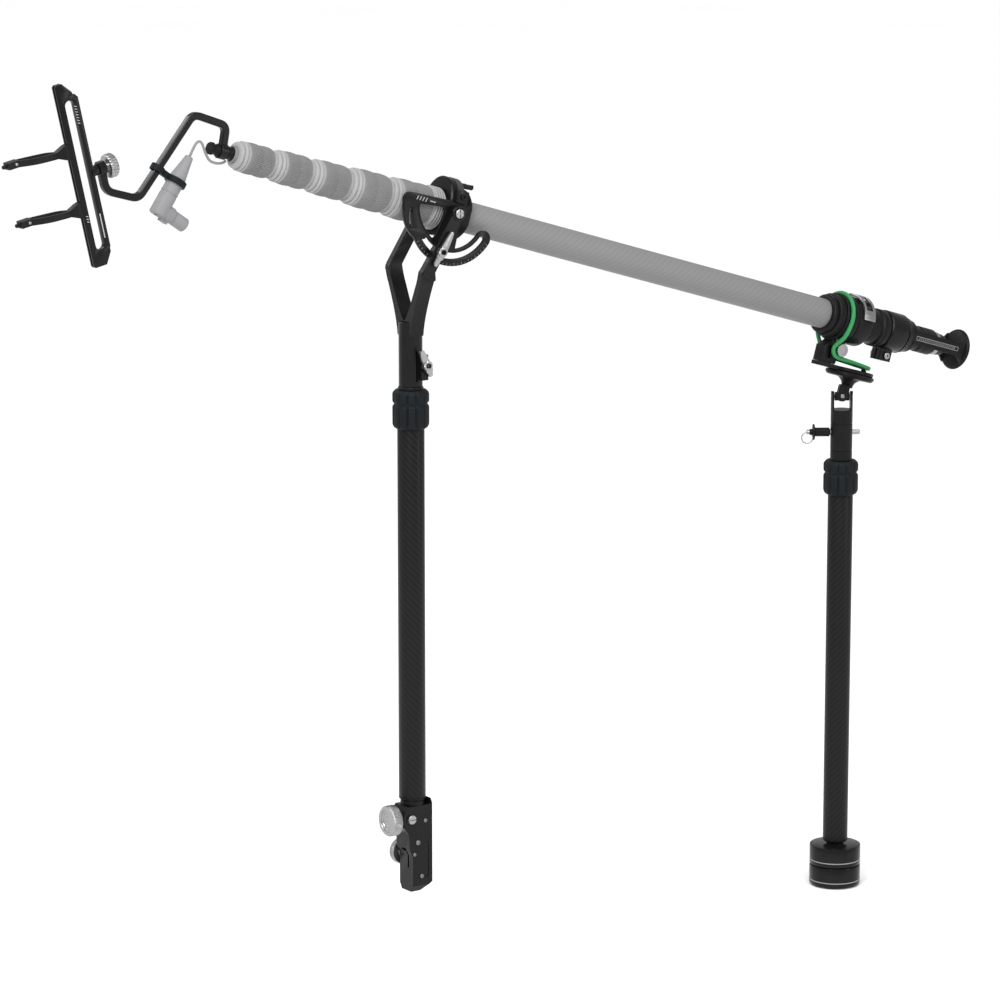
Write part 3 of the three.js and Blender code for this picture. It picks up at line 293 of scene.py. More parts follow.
black = anodised("black_anodised")
glossBlack = anodised("gloss_black", 0.0035, 0.008, 0.24, shine=0.16)
greyEdge = anodised("grey_anodised", 0.05, 0.09, 0.4)
silver = machined("silver_turned")
steel = machined("steel_screw", 0.22, 0.28)
rubber = moulded("lobed_rubber", (0.0045, 0.0058, 0.0068), 1.8, 0.6, "rubber")
ringBlack = moulded("ring_black", (0.005, 0.005, 0.0055), 1.8, 0.42, "rubber")
plastic = moulded("black_plastic", (0.007, 0.007, 0.0075), 1.7, 0.42, "black_plastic")
greyPlastic = moulded("grey_plastic", (0.2, 0.2, 0.205), 1.2, 0.45, "grey_plastic")
cableRubber = moulded("cable_rubber", (0.2, 0.2, 0.2), 1.2, 0.55, "grey_cable")
greyCarbon = woven("grey_carbon", shade(0.17), shade(0.25), 56, 0.42, "grey_carbon", 0.25, 0.02)
blackCarbon = woven("black_carbon", shade(0.005), shade(0.016), 52, 0.32, "black_carbon", 0.5, 0.03)
gripGrey = ribbedGrip("grip_grey", shade(0.14), shade(0.19))
ringGrey = ribbedGrip("ring_grey", shade(0.26), shade(0.33))
green = elasticWeave("green_elastic", (0.004, 0.12, 0.03), (0.012, 0.32, 0.075))
weightBlack = anodised("weight_black", 0.004, 0.009, 0.18, "black_steel", 0.16)
markGrey = moulded("mark_grey", (0.33, 0.33, 0.33), 1.25, 0.5, "black_plastic")


def meshOf(points, faces, uvs=None):
    mesh = bpy.data.meshes.new("form")
    mesh.from_pydata([tuple(p) for p in points], [], faces)
    layer = mesh.uv_layers.new(name="UVMap")
    if uvs:
        for face in mesh.polygons:
            for k, loop in enumerate(face.loop_indices):
                layer.data[loop].uv = uvs[face.index][k]
    return mesh


axisTurn = {"z": Matrix.Identity(4), "x": Matrix(((0, 0, 1, 0), (1, 0, 0, 0), (0, 1, 0, 0), (0, 0, 0, 1))),
            "y": Matrix(((1, 0, 0, 0), (0, 0, 1, 0), (0, -1, 0, 0), (0, 0, 0, 1)))}


def lathe(outline, axis="z", sides=96, ribs=0, twist=0.0, groove=False, loop=None, twoTone=False):
    rings = [tuple(p) + (0.0,) * (3 - len(p)) for p in outline]
    loop = rings[0][0] > 0 if loop is None else loop
    if ribs:
        sides = ribs * (12 if groove else 6)
    widest = max(r for r, _, _ in rings)
    points, faces, uvs, plain = [], [], [], []
    run = [0.0]
    for (r0, a0, _), (r1, a1, _) in zip(rings, rings[1:]):
        run.append(run[-1] + math.hypot(r1 - r0, a1 - a0))
    starts = []
    for r, a, depth in rings:
        starts.append(len(points))
        if r < 1e-6:
            points.append((0, 0, a))
            continue
        for i in range(sides):
            angle = tau * i / sides + twist * a
            phase = ribs * i / sides % 1.0
            dip = max(0.0, 1 - abs(phase - 0.5) / 0.17) ** 0.7 if groove else 0.5 - 0.5 * math.cos(tau * phase)
            radius = r - depth * dip if ribs else r
            points.append((radius * math.cos(angle), radius * math.sin(angle), a))
    steps = len(rings) if loop else len(rings) - 1
    length = tau * widest
    for k in range(steps):
        j = (k + 1) % len(rings)
        v0 = run[k] / length
        v1 = (run[j] if j else run[-1] + 1) / length
        zero0, zero1 = rings[k][0] < 1e-6, rings[j][0] < 1e-6
        if zero0 and zero1:
            continue
        for i in range(sides):
            n = (i + 1) % sides
            u0, u1 = i / sides, (i + 1) / sides
            a, b = starts[k] + i, starts[k] + n
            c, d = starts[j] + n, starts[j] + i
            plain.append(int(rings[k][2] + rings[j][2] == 0))
            if zero0:
                faces.append((starts[k], c, d))
                uvs.append(((u0, v0), (u1, v1), (u0, v1)))
            elif zero1:
                faces.append((a, b, starts[j]))
                uvs.append(((u0, v0), (u1, v0), (u0, v1)))
            else:
                faces.append((a, b, c, d))
                uvs.append(((u0, v0), (u1, v0), (u1, v1), (u0, v1)))
    mesh = meshOf(points, faces, uvs)
    if twoTone:
        for face, smooth in zip(mesh.polygons, plain):
            face.material_index = smooth
    mesh.transform(axisTurn[axis])
    return mesh


def rod(radius, low, high, axis="z", sides=64, soft=0.4):
    c = min(soft, radius * 0.3, (high - low) * 0.3)
    return lathe([(0, low), (radius - c, low), (radius, low + c), (radius, high - c), (radius - c, high),
                  (0, high)],
                 axis, sides, loop=False)


def block(x0, x1, y0, y1, z0, z1):
    points = [(x, y, z) for x in (x0, x1) for y in (y0, y1) for z in (z0, z1)]
    faces = [(0, 1, 3, 2), (4, 6, 7, 5), (0, 4, 5, 1), (2, 3, 7, 6), (0, 2, 6, 4), (1, 5, 7, 3)]
    return meshOf(points, faces)


def arc(cx, cy, radius, start, end, steps=24):
    return [(cx + radius * math.cos(math.radians(start + (end - start) * i / steps)),
             cy + radius * math.sin(math.radians(start + (end - start) * i / steps))) for i in range(steps + 1)]


def curveTo(a, control, b, steps=8):
    out = []
    for i in range(1, steps + 1):
        t = i / steps
        out.append(tuple((1 - t) ** 2 * p + 2 * t * (1 - t) * q + t * t * r for p, q, r in zip(a, control, b)))
    return out


def plate(outline, y0, y1, holes=(), plane="xz"):
    data = bpy.data.curves.new("plate", "CURVE")
    data.dimensions = "2D"
    data.fill_mode = "BOTH"
    data.extrude = (y1 - y0) / 2
    for edge in (outline, *holes):
        spline = data.splines.new("POLY")
        spline.points.add(len(edge) - 1)
        for point, (u, v) in zip(spline.points, edge):
            point.co = (u, v, 0, 1)
        spline.use_cyclic_u = True
    holder = bpy.data.objects.new("plate", data)
    mesh = bpy.data.meshes.new_from_object(holder)
    bpy.data.objects.remove(holder)
    weld(mesh, 0.004)
    mesh.transform(Matrix.Translation((0, 0, (y0 + y1) / 2)))
    if plane == "xz":
        mesh.transform(Matrix(((1, 0, 0, 0), (0, 0, 1, 0), (0, 1, 0, 0), (0, 0, 0, 1))))
        mesh.flip_normals()
    elif plane == "yz":
        mesh.transform(Matrix(((0, 0, 1, 0), (1, 0, 0, 0), (0, 1, 0, 0), (0, 0, 0, 1))))
    return mesh


def weld(mesh, distance=0.003):
    bm = bmesh.new()
    bm.from_mesh(mesh)
    bmesh.ops.remove_doubles(bm, verts=bm.verts, dist=distance)
    bmesh.ops.dissolve_degenerate(bm, edges=bm.edges, dist=distance)
    bm.to_mesh(mesh)
    bm.free()
    return mesh


def smoothPath(points, steps):
    pts = [Vector(p) for p in points]
    ends = [pts[0] * 2 - pts[1], *pts, pts[-1] * 2 - pts[-2]]
    out = []
    for a, b, c, d in zip(ends, ends[1:], ends[2:], ends[3:]):
        for i in range(steps):
            t = i / steps
            out.append(0.5 * ((2 * b) + (c - a) * t + (2 * a - 5 * b + 4 * c - d) * t * t
                              + (3 * b - a - 3 * c + d) * t ** 3))
    return out + [pts[-1]]


def roundedPath(points, radius, steps=10):
    pts = [Vector(p) for p in points]
    out = [pts[0]]
    for a, b, c in zip(pts, pts[1:], pts[2:]):
        start = b + (a - b).normalized() * radius
        end = b + (c - b).normalized() * radius
        out += [start] + [Vector(p) for p in curveTo(start, b, end, steps)]
    return out + [pts[-1]]


def sweep(path, section, closed=False, side=Vector((0, 1, 0))):
    rows, count = [], len(path)
    across = side
    run = 0.0
    girth = sum((Vector(a) - Vector(b)).length for a, b in zip(section, section[1:] + section[:1]))
    along = []
    for i, point in enumerate(path):
        ahead = path[(i + 1) % count] if closed or i < count - 1 else point * 2 - path[i - 1]
        back = path[i - 1] if closed or i > 0 else point * 2 - path[1]
        tangent = (ahead - back).normalized()
        across = (across - tangent * across.dot(tangent)).normalized()
        up = across.cross(tangent)
        rows.append([point + up * u + across * v for u, v in section])
        along.append(run / girth)
        run += (ahead - point).length
    points = [p for row in rows for p in row]
    m = len(section)
    faces, uvs = [], []
    for i in range(count if closed else count - 1):
        j = (i + 1) % count
        v0, v1 = along[i], along[j] if j else run / girth
        for k in range(m):
            n = (k + 1) % m
            faces.append((i * m + k, i * m + n, j * m + n, j * m + k))
            uvs.append(((k / m, v0), ((k + 1) / m, v0), ((k + 1) / m, v1), (k / m, v1)))
    if not closed:
        faces.append(tuple(range(m))[::-1])
        uvs.append(((0, 0),) * m)
        faces.append(tuple((count - 1) * m + k for k in range(m)))
        uvs.append(((0, 0),) * m)
    return meshOf(points, faces, uvs)


def ring(radius, sides=16):
    return [(radius * math.cos(tau * i / sides), radius * math.sin(tau * i / sides)) for i in range(sides)]


def squareSection(side, cut=0.62):
    h = side / 2
    c = h * cut
    return [(h, -c), (h, c), (c, h), (-c, h), (-h, c), (-h, -c), (-c, -h), (c, -h)]


def moved(mesh, place=(0, 0, 0), turn=0.0, axis="Y"):
    mesh.transform(Matrix.Translation(place) @ Matrix.Rotation(math.radians(turn), 4, axis))
    return mesh


def fixNormals(mesh):
    bm = bmesh.new()
    bm.from_mesh(mesh)
    bmesh.ops.recalc_face_normals(bm, faces=bm.faces)
    bm.to_mesh(mesh)
    bm.free()
    return mesh


def combine(base, tools, operation):
    holder = bpy.data.objects.new("base", fixNormals(base))
    scene.collection.objects.link(holder)
    others = []
    for tool in tools:
        other = bpy.data.objects.new("tool", fixNormals(tool))
        scene.collection.objects.link(other)
        others.append(other)
        step = holder.modifiers.new("step", "BOOLEAN")
        step.operation = operation
        step.object = other
        step.solver = "MANIFOLD"
    bpy.context.view_layer.update()
    result = bpy.data.meshes.new_from_object(holder.evaluated_get(bpy.context.evaluated_depsgraph_get()))
    for o in [holder, *others]:
        bpy.data.objects.remove(o)
    return result


def joined(base, *tools): return combine(base, tools, "UNION")
def cut(base, *tools): return combine(base, tools, "DIFFERENCE")
def common(base, *tools): return combine(base, tools, "INTERSECT")


def gathered(*meshes):
    bm = bmesh.new()
    for mesh in meshes:
        bm.from_mesh(mesh)
    out = bpy.data.meshes.new("form")
    bm.to_mesh(out)
    bm.free()
    return out


def piece(name, mesh, finish, body, place, nodes=(), bevel=0.4, sharp=32.0, segments=2, second=None):
    thing = bpy.data.objects.new(name, mesh)
    scene.collection.objects.link(thing)
    fixNormals(mesh)
    if bevel:
        edge = thing.modifiers.new("bevel", "BEVEL")
        edge.width = bevel
        edge.segments = segments
        edge.limit_method = "ANGLE"
        edge.angle_limit = math.radians(28)
        edge.miter_outer = "MITER_ARC"
        bpy.context.view_layer.update()
        made = bpy.data.meshes.new_from_object(thing.evaluated_get(bpy.context.evaluated_depsgraph_get()))
        thing.modifiers.clear()
        thing.data = made
    data = thing.data
    data.transform(Matrix.Scale(mm, 4) @ place)
    parts = [face.material_index for face in data.polygons]
    data.materials.clear()
    data.materials.append(finish.material)
    if second:
        data.materials.append(second.material)
        data.polygons.foreach_set("material_index", parts)
    data.shade_smooth()
    data.set_sharp_from_angle(angle=math.radians(sharp))
    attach(thing, body)
    if nodes:
        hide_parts(*nodes)
    return thing


def screw(name, body, place, at, radius=2.2, depth=1.0, kind="hex", finish=None):
    x, y, z = at
    head = lathe([(0, 0), (radius - 0.3, 0), (radius, -0.3), (radius, -depth + 0.35), (radius - 0.35, -depth),
                  (0, -depth)], "y", 48, loop=False)
    if kind == "hex":
        tool = lathe([(0, -depth - 1), (radius * 0.5, -depth - 1), (radius * 0.5, -depth * 0.3),
                      (0, -depth * 0.3)],
                     "y", 6, loop=False)
    else:
        tool = block(-radius * 1.2, radius * 1.2, -depth - 1, -depth * 0.45, -radius * 0.13, radius * 0.13)
    return piece(name, moved(cut(head, tool), (x, y, z)), finish or steel, body, place, bevel=0.08)


tubeFront = -295.6
eyeMiddle = tubeFront - 12.7
eyeHalf = 4.7
lead = {"diameter": 3.0, "route": [(8, -9.4), (4, -12.6), (-4, -14.6), (-13.2, -13.2), (-20.8, -6), (-27, 2),
                                    (-31.5, 4), (-35, 1), (-37.5, -7), (-39.2, -14.5)]}


def addLead():
    route = [(eyeMiddle + x, 0, z) for x, z in lead["route"]]
    path = smoothPath(route, 4)
    cord = piece("mic_lead_cord", sweep(path, ring(lead["diameter"] / 2, 20)), cableRubber, "offset_arm", boom,
                 ["mic_lead"], bevel=0, sharp=60)
    world = [Matrix.Scale(mm, 4) @ boom @ p for p in path]
    length = sum((a - b).length for a, b in zip(world, world[1:]))


base = {"knurls": 60, "backKnurls": 48}
top = 52.5
seatHeight = 53.3
footTop = 63.0


def knurledKnob(radius, rim, face, neck, hollow=0.0):
    return [(neck, 0), (neck, 3), (radius - 1.2, 3), (radius, 4.2, 0.7), (radius, rim, 0.7),
            (radius - 1.2, face),
            (radius * 0.72, face), (radius * 0.7, face - 0.8), (radius * 0.55, face - 0.8),
            (radius * 0.52, face - hollow),
            (radius * 0.3, face - hollow), (radius * 0.27, face - hollow - 0.6), (0, face - hollow - 0.6)]


def addBase():
    outline = [(-9, -52.5), (4, -52.5), (19, -42.5), (19, 54.5), (16.7, 60.5), (16.7, 53), (-15, 53),
               (-21.4, 43.5),
               (-21.4, 28.5), (-14.5, 19.5), (-13, -0.5), (-9, -8.5)]
    body = plate(outline, -14, 14)
    wedge = [(9, -54), (15, -54), (15, -43.5)]
    tools = [rod(10.3, 17.5, 80), plate(wedge, -40, 40, plane="yz"),
             plate([(-y, z) for y, z in wedge], -40, 40, plane="yz"),
             block(-20, -5.5, -6, -3, -23.5, 0.5), block(-20, -5.5, -6, 4, -2.5, 0.5), rod(3.3, -30, 0, "x"),
             rod(3.3, 2, 19, "y")]
    moved(tools[5], (0, 0, top - 16))
    moved(tools[6], (-1, 0, top - 62))
    # shallow panel milled into the near side
    tools.append(plate([(-3, -36), (12, -36), (14, -32), (14, 4), (12, 8), (-3, 8), (-6, 3), (-6, -30)], -15,
                       -13.2))
    piece("bracket", cut(body, *tools), glossBlack, "base", rig, ["base_bracket"], bevel=1.1, segments=3)
    foot = lathe([(0, 18.5), (10, 18.5), (10, seatHeight), (14.3, seatHeight), (14.3, footTop - 4.6),
                  (13.7, footTop - 4.2),
                  (13.7, footTop - 3.4), (14.3, footTop - 3), (mastRadius, footTop - 2.4),
                  (mastRadius, footTop - gap),
                  (13.9, footTop - gap), (13.9, footTop + 18), (0, footTop + 18)], loop=False)
    piece("mast_foot_ring", foot, black, "base", rig, ["mast_foot"], bevel=0.25)
    screw("bracket_pivot_button", "base", rig, (-11, -14, 38), 5.4, 3.4, "slot", silver)
    for i, (x, z, r) in enumerate([(-1.5, 8, 3.0), (-6.5, -6, 2.2), (4, -34, 2.6), (9, 34, 2.4)]):
        depth = 1.4 if -6 < x < 14 and -36 < z < 8 else 1.0
        screw(f"bracket_screw_{i + 1}", "base", rig, (x, -14, z) if depth == 1.0 else (x, -13.2, z), r, depth)
    face = -21.7
    knob = knurledKnob(18.5, 13.5, 15, 8, 1.6)
    outline = [(r, face - a, *d) for r, a, *d in [(0, -10.7), (3, -10.7), (3, 0), *knob]]
    piece("clamp_knob", lathe(outline, "x", ribs=base["knurls"], loop=False), silver, "base_clamp_knob",
          rig @ Matrix.Translation((0, 0, top - 16)), ["base_clamp_knob"], bevel=0)
    outline = [(r, 14.3 + a, *d) for r, a,
               *d in [(0, -10.3), (3, -10.3), (3, 0), *knurledKnob(16, 10, 11.5, 7, 1.2)]]
    piece("back_knob", lathe(outline, "y", ribs=base["backKnurls"], loop=False), silver, "base_back_knob",
          rig @ Matrix.Translation((-1, 0, top - 62)), ["base_back_knob"], bevel=0)


mastRadius = 16.0
innerRadius = 13.5
mast = {"lobes": 12, "collar": 21.6, "bottom": 506.5, "top": 552.5}


def lobedCollar(radius, low, high, bore, throat, seat):
    mid = low + (high - low) * 0.64
    lobe = 1.7
    outline = [(bore, low), (radius - 4.5, low), (radius - 1.6, low + 2.0, lobe * 0.3),
               (radius - 0.2, low + 5.0, lobe),
               (radius, low + 7, lobe), (radius, mid - 4, lobe), (radius - 0.5, mid - 2.2, lobe),
               (radius - 1.9, mid - 0.8, 0.2), (radius - 1.9, mid + 0.8, 0.2), (radius - 0.5, mid + 2.2, lobe),
               (radius, mid + 4, lobe), (radius, high - 5, lobe), (radius - 0.8, high - 2.6, lobe * 0.7),
               (radius - 3.5, high), (throat, high), (throat, seat), (bore, seat)]
    return lathe(outline, ribs=mast["lobes"], groove=True)


def addMast():
    tube = lathe([(14.2, footTop), (mastRadius, footTop), (mastRadius, 514), (14.2, 514)])
    piece("mast_tube", tube, blackCarbon, "base", rig, ["mast_outer_tube"], bevel=0.15)
    collar = lobedCollar(mast["collar"], mast["bottom"], mast["top"], 16.3, 14.1, 514.6)
    piece("mast_collar", collar, rubber, "mast_lock_collar", rig, ["mast_lock_collar"], bevel=0, sharp=40)
    high = mast["top"]
    inner = lathe([(11.9, 133), (innerRadius, 133), (innerRadius, high + gap), (15, high + gap),
                   (15, high + 1.3),
                   (14.4, high + 1.6), (15, high + 1.9), (15, high + 3), (14.2, high + 4), (9.6, high + 4),
                   (9.6, 620.8), (8.6, 621.8), (4, 621.8), (4, 506.5), (11.9, 506.5)])
    piece("mast_slider", inner, blackCarbon, "mast_slider", rig, ["mast_inner_tube"], bevel=0.2)


fork = {"spread": 35.5, "thick": 8.0, "width": 14.4, "sleeve": 14.0}
sleeveBottom = 556.8
sleeveTop = 632.8
elbowHeight = 693.8
prongIn = fork["spread"] - fork["thick"] / 2
prongOut = fork["spread"] + fork["thick"] / 2
prongLean = math.atan2(pivotReach, pivotHeight - elbowHeight)
leverHeight = sleeveBottom + 26


def besideProng(x, z, offset):
    return (x + math.cos(prongLean) * offset, z - math.sin(prongLean) * offset)


def addFork():
    half = fork["width"] / 2
    r = fork["sleeve"]
    vee = [(-r + 0.6, sleeveTop - 16), (r - 0.6, sleeveTop - 16)]
    vee += curveTo(vee[-1], (r + 1, sleeveTop + 4), (prongOut - 7, elbowHeight - 18), 6)
    vee += curveTo(vee[-1], (prongOut, elbowHeight - 6), (prongOut, elbowHeight + 12), 8)
    vee += [(prongIn, elbowHeight + 12)]
    vee += curveTo(vee[-1], (prongIn, elbowHeight - 3), (prongIn - 9, elbowHeight - 20), 8)
    vee += curveTo(vee[-1], (5, sleeveTop + 2), (0, sleeveTop + 1.5), 8)
    left = [(-y, z) for y, z in vee[2:-1][::-1]]
    body = plate(vee + left, -9.2, 9.2, plane="yz")
    trim = [besideProng(0, elbowHeight, -half - 1), besideProng(pivotReach, pivotHeight, -half - 1),
            (-60, pivotHeight),
            (-60, elbowHeight + 1), (-9.2, elbowHeight + 1)]
    body = cut(body, plate(trim, -50, 50))
    prong = [(-9.2, elbowHeight - 3),
             *curveTo((-9.2, elbowHeight - 3), (9.2, elbowHeight - 14), (9.2, elbowHeight - 8), 6),
             besideProng(2, elbowHeight + 4, half + 0.5), besideProng(pivotReach, pivotHeight, half),
             besideProng(pivotReach, pivotHeight, -half), besideProng(0, elbowHeight, -half - 1)]
    parts = []
    for sign in (-1, 1):
        low = min(sign * prongIn, sign * prongOut)
        parts.append(plate(prong, low, low + fork["thick"]))
        parts.append(moved(rod(9, low, low + fork["thick"], "y"), (pivotReach, 0, pivotHeight)))
    parts.append(rod(r, sleeveBottom, sleeveTop))
    parts.append(block(3, 12.5, -18.5, -6, sleeveBottom + 8, sleeveBottom + 38))
    body = joined(body, *parts)
    bolt = boltPlace()
    tools = [moved(rod(3.3, -60, 60, "y", 32), (pivotReach, 0, pivotHeight)),
             rod(9.9, sleeveBottom - 1, sleeveTop - 10.5),
             block(-1.6, 0.6, -25, -5, sleeveBottom + 6, sleeveBottom + 42),
             moved(rod(2.9, -50, 0, "y", 32), (bolt[0], 0, bolt[1])),
             moved(rod(2.9, -30, -12, "y", 32), (8, 0, leverHeight))]
    # counterbores round the pivot screws
    for sign in (-1, 1):
        low = min(sign * (prongOut - 0.9), sign * (prongOut + 3))
        tools.append(moved(rod(6.3, low, low + 3.9, "y"), (pivotReach, 0, pivotHeight)))
    piece("fork_yoke_body", cut(body, *tools), glossBlack, "fork", rig, ["fork_yoke"], bevel=1.0, segments=3)
    for side, sign in (("near", -1), ("far", 1)):
        start = prongOut + gap
        outline = [(0, 21.6), (3, 21.6), (3, start), (5.2, start), (5.6, start + 0.4), (5.6, start + 1.8),
                   (4.8, start + 2.6), (0, start + 2.6)]
        slot = block(-8, 8, start + 1.2, start + 5, -0.8, 0.8)
        head = cut(lathe(outline, "y", 64, loop=False), slot, moved(slot.copy(), (0, 0, 0), 90))
        mesh = moved(head, (0, 0, 0), 0 if sign > 0 else 180, "Z")
        piece(f"pivot_screw_head_{side}", moved(mesh, (pivotReach, 0, pivotHeight)), silver, "fork", rig,
              [f"pivot_screw_{side}"], bevel=0.12)
        rim = lathe([(6.5, prongOut - 0.4), (8.7, prongOut - 0.4), (8.7, prongOut + 0.9), (8.2, prongOut + 1.3),
                     (6.9, prongOut + 1.3), (6.5, prongOut + 0.9)], "y")
        rim = moved(rim, (0, 0, 0), 0 if sign > 0 else 180, "Z")
        piece(f"pivot_boss_rim_{side}", moved(rim, (pivotReach, 0, pivotHeight)), glossBlack, "fork", rig,
              bevel=0)


def boltPlace():
    return (pivotReach - 50 * math.sin(prongLean), pivotHeight - 50 * math.cos(prongLean))


def ratchetLever(length, handle):
    hub = -length
    bolt = rod(2.6, hub - 1, 0, "y", 32)
    boss = lathe([(0, hub - 7.4), (2.2, hub - 7.4), (2.4, hub - 6.8), (3.4, hub - 7), (5.2, hub - 5.9),
                  (5.6, hub - 5.3),
                  (5.6, hub), (0, hub)], "y", loop=False)
    side = [(-4.6, -6)]
    side += arc(0, -6, 4.6, 180, 360, 12)[1:]
    side += curveTo((4.6, -6), (5.2, handle * 0.4), (2.5, handle - 2), 6)
    side += arc(0, handle - 2, 2.5, 0, 180, 10)[1:]
    side += curveTo((-2.5, handle - 2), (-5.2, handle * 0.4), (-4.6, -6), 6)[:-1]
    arm = plate(side, hub - 6, hub - 1.2)
    heel = plate([(-3.4, -5), (3.4, -5), (3.0, -handle * 0.6), (1.6, -handle * 0.72), (-1.6, -handle * 0.72),
                  (-3.0, -handle * 0.6)], hub - 4.8, hub - 0.8)
    return joined(boss, bolt, arm, heel)


def leverHub(name, body, at, turn):
    x, y, z = at
    ribbed = lathe([(3.6, -7.7), (5.4, -7.5, 0.6), (6.1, -6.9, 0.6), (6.1, -1.0, 0.6), (3.6, -1.0)], "y",
                   ribs=18)
    piece(name, moved(ribbed, (x, y, z), turn), silver, body, rig, bevel=0)
    socket = cut(rod(2.9, -8.3, -6.8, "y", 48, 0.3),
                 lathe([(0, -9), (1.5, -9), (1.5, -7.4), (0, -7.4)], "y", 6, loop=False))
    piece(f"{name}_screw", moved(socket, (x, y, z), turn), black, body, rig, bevel=0)


def addLevers():
    x, z = boltPlace()
    clamp = joined(ratchetLever(prongOut + gap - 27.5, 26), rod(5, 0, 2, "y", 6, 0.2))
    piece("arc_lever", moved(clamp, (x, -27.5, z), math.degrees(prongLean)), silver, "fork_lever", rig,
          ["fork_lever"],
          bevel=0.5)
    leverHub("arc_lever_hub", "fork_lever", (x, -prongOut - gap, z), math.degrees(prongLean))
    head = moved(ratchetLever(5.5 + gap, 20), (8, -13, leverHeight), -24)
    piece("sleeve_lever", head, silver, "head_lever", rig, ["head_lever"], bevel=0.5)
    leverHub("sleeve_lever_hub", "head_lever", (8, -13 - 5.8, leverHeight), -24)


quadrant = {"radius": 62.0, "slot": 50.0, "width": 7.0, "ticks": 23}
plateNear, plateFar = -31.2, -27.8
flat = 27.5
cradleFront, cradleBack = -7.0, 25.0
boomRadius = 18.5


def addQuadrant():
    r, inner = quadrant["radius"], quadrant["slot"] - 8.1
    edge = [(10, 9), (-12.4, 12.6), (-67, 10.5)]
    edge += curveTo((-67, 10.5), (-74.4, 9), (-74.4, 1))
    edge += [(-70, -15)]
    edge += curveTo((-70, -15), (-65, -32), (r * math.cos(math.radians(221)), r * math.sin(math.radians(221))))
    edge += arc(0, 0, r, 221, 336, 60)[1:]
    mid = (r + inner) / 2
    cx, cy = mid * math.cos(math.radians(336)), mid * math.sin(math.radians(336))
    edge += arc(cx, cy, (r - inner) / 2, 336, 516, 24)[1:]
    edge += arc(0, 0, inner, 336, 286, 30)[1:]
    edge += [(10, -10)]
    h = quadrant["width"] / 2
    s = quadrant["slot"]

    def onSlot(angle):
        return s * math.cos(math.radians(angle)), s * math.sin(math.radians(angle))
    slot = arc(0, 0, s + h, 225, 334, 60) + arc(*onSlot(334), h, 334, 514, 16)[1:]
    slot += arc(0, 0, s - h, 334, 225, 60)[1:] + arc(*onSlot(225), h, 405, 225 + 11, 16)[1:-1]
    web = [(-48, 1), (-20, 3.5), *curveTo((-20, 3.5), (-14, 3), (-14, -4)), (-19, -31),
           *curveTo((-19, -31), (-21, -37), (-26, -34)), *curveTo((-26, -34), (-46, -22), (-51, -5)),
           *curveTo((-51, -5), (-52, 1), (-48, 1))[:-1]]
    side = [(-64, -7), (-59.5, -6), *curveTo((-59.5, -6), (-57.5, -20), (-53, -29)), (-56, -31),
            *curveTo((-56, -31), (-62, -21), (-64, -7))[:-1]]
    body = plate(edge, plateNear, plateFar, [slot, web, side])
    body = cut(body, rod(3.3, -60, 0, "y", 32))
    piece("quadrant", body, glossBlack, "cradle", boom, ["quadrant_plate"], bevel=0.6, segments=3)
    rim = [Vector((x, plateNear, z)) for x, z in web]
    piece("quadrant_web_rim", sweep(rim, ring(0.7, 10), True), black, "cradle", boom, bevel=0)
    ticks = []
    for i in range(quadrant["ticks"]):
        a = math.radians(226 + i * 108 / (quadrant["ticks"] - 1))
        long = 2.6 if i % 2 == 0 else 1.6
        tick = block(-long, 0, plateNear - 0.05, plateNear + 0.2, -0.16, 0.16)
        tick.transform(Matrix.Rotation(-a, 4, "Y"))
        tick.transform(Matrix.Translation((61 * math.cos(a), 0, 61 * math.sin(a))))
        ticks.append(tick)
    piece("quadrant_ticks", gathered(*ticks), markGrey, "cradle", boom, bevel=0)
    marks = []
    for i in range(4):
        marks.append(moved(block(-0.5, 0.5, plateNear - 0.06, plateNear + 0.2, -2.4, 2.4),
                           (-56 + i * 4.2, 0, 6), 18))
    marks.append(block(-38, -30, plateNear - 0.06, plateNear + 0.2, 5.4, 6.4))
    piece("quadrant_hatch", gathered(*marks), markGrey, "cradle", boom, bevel=0)


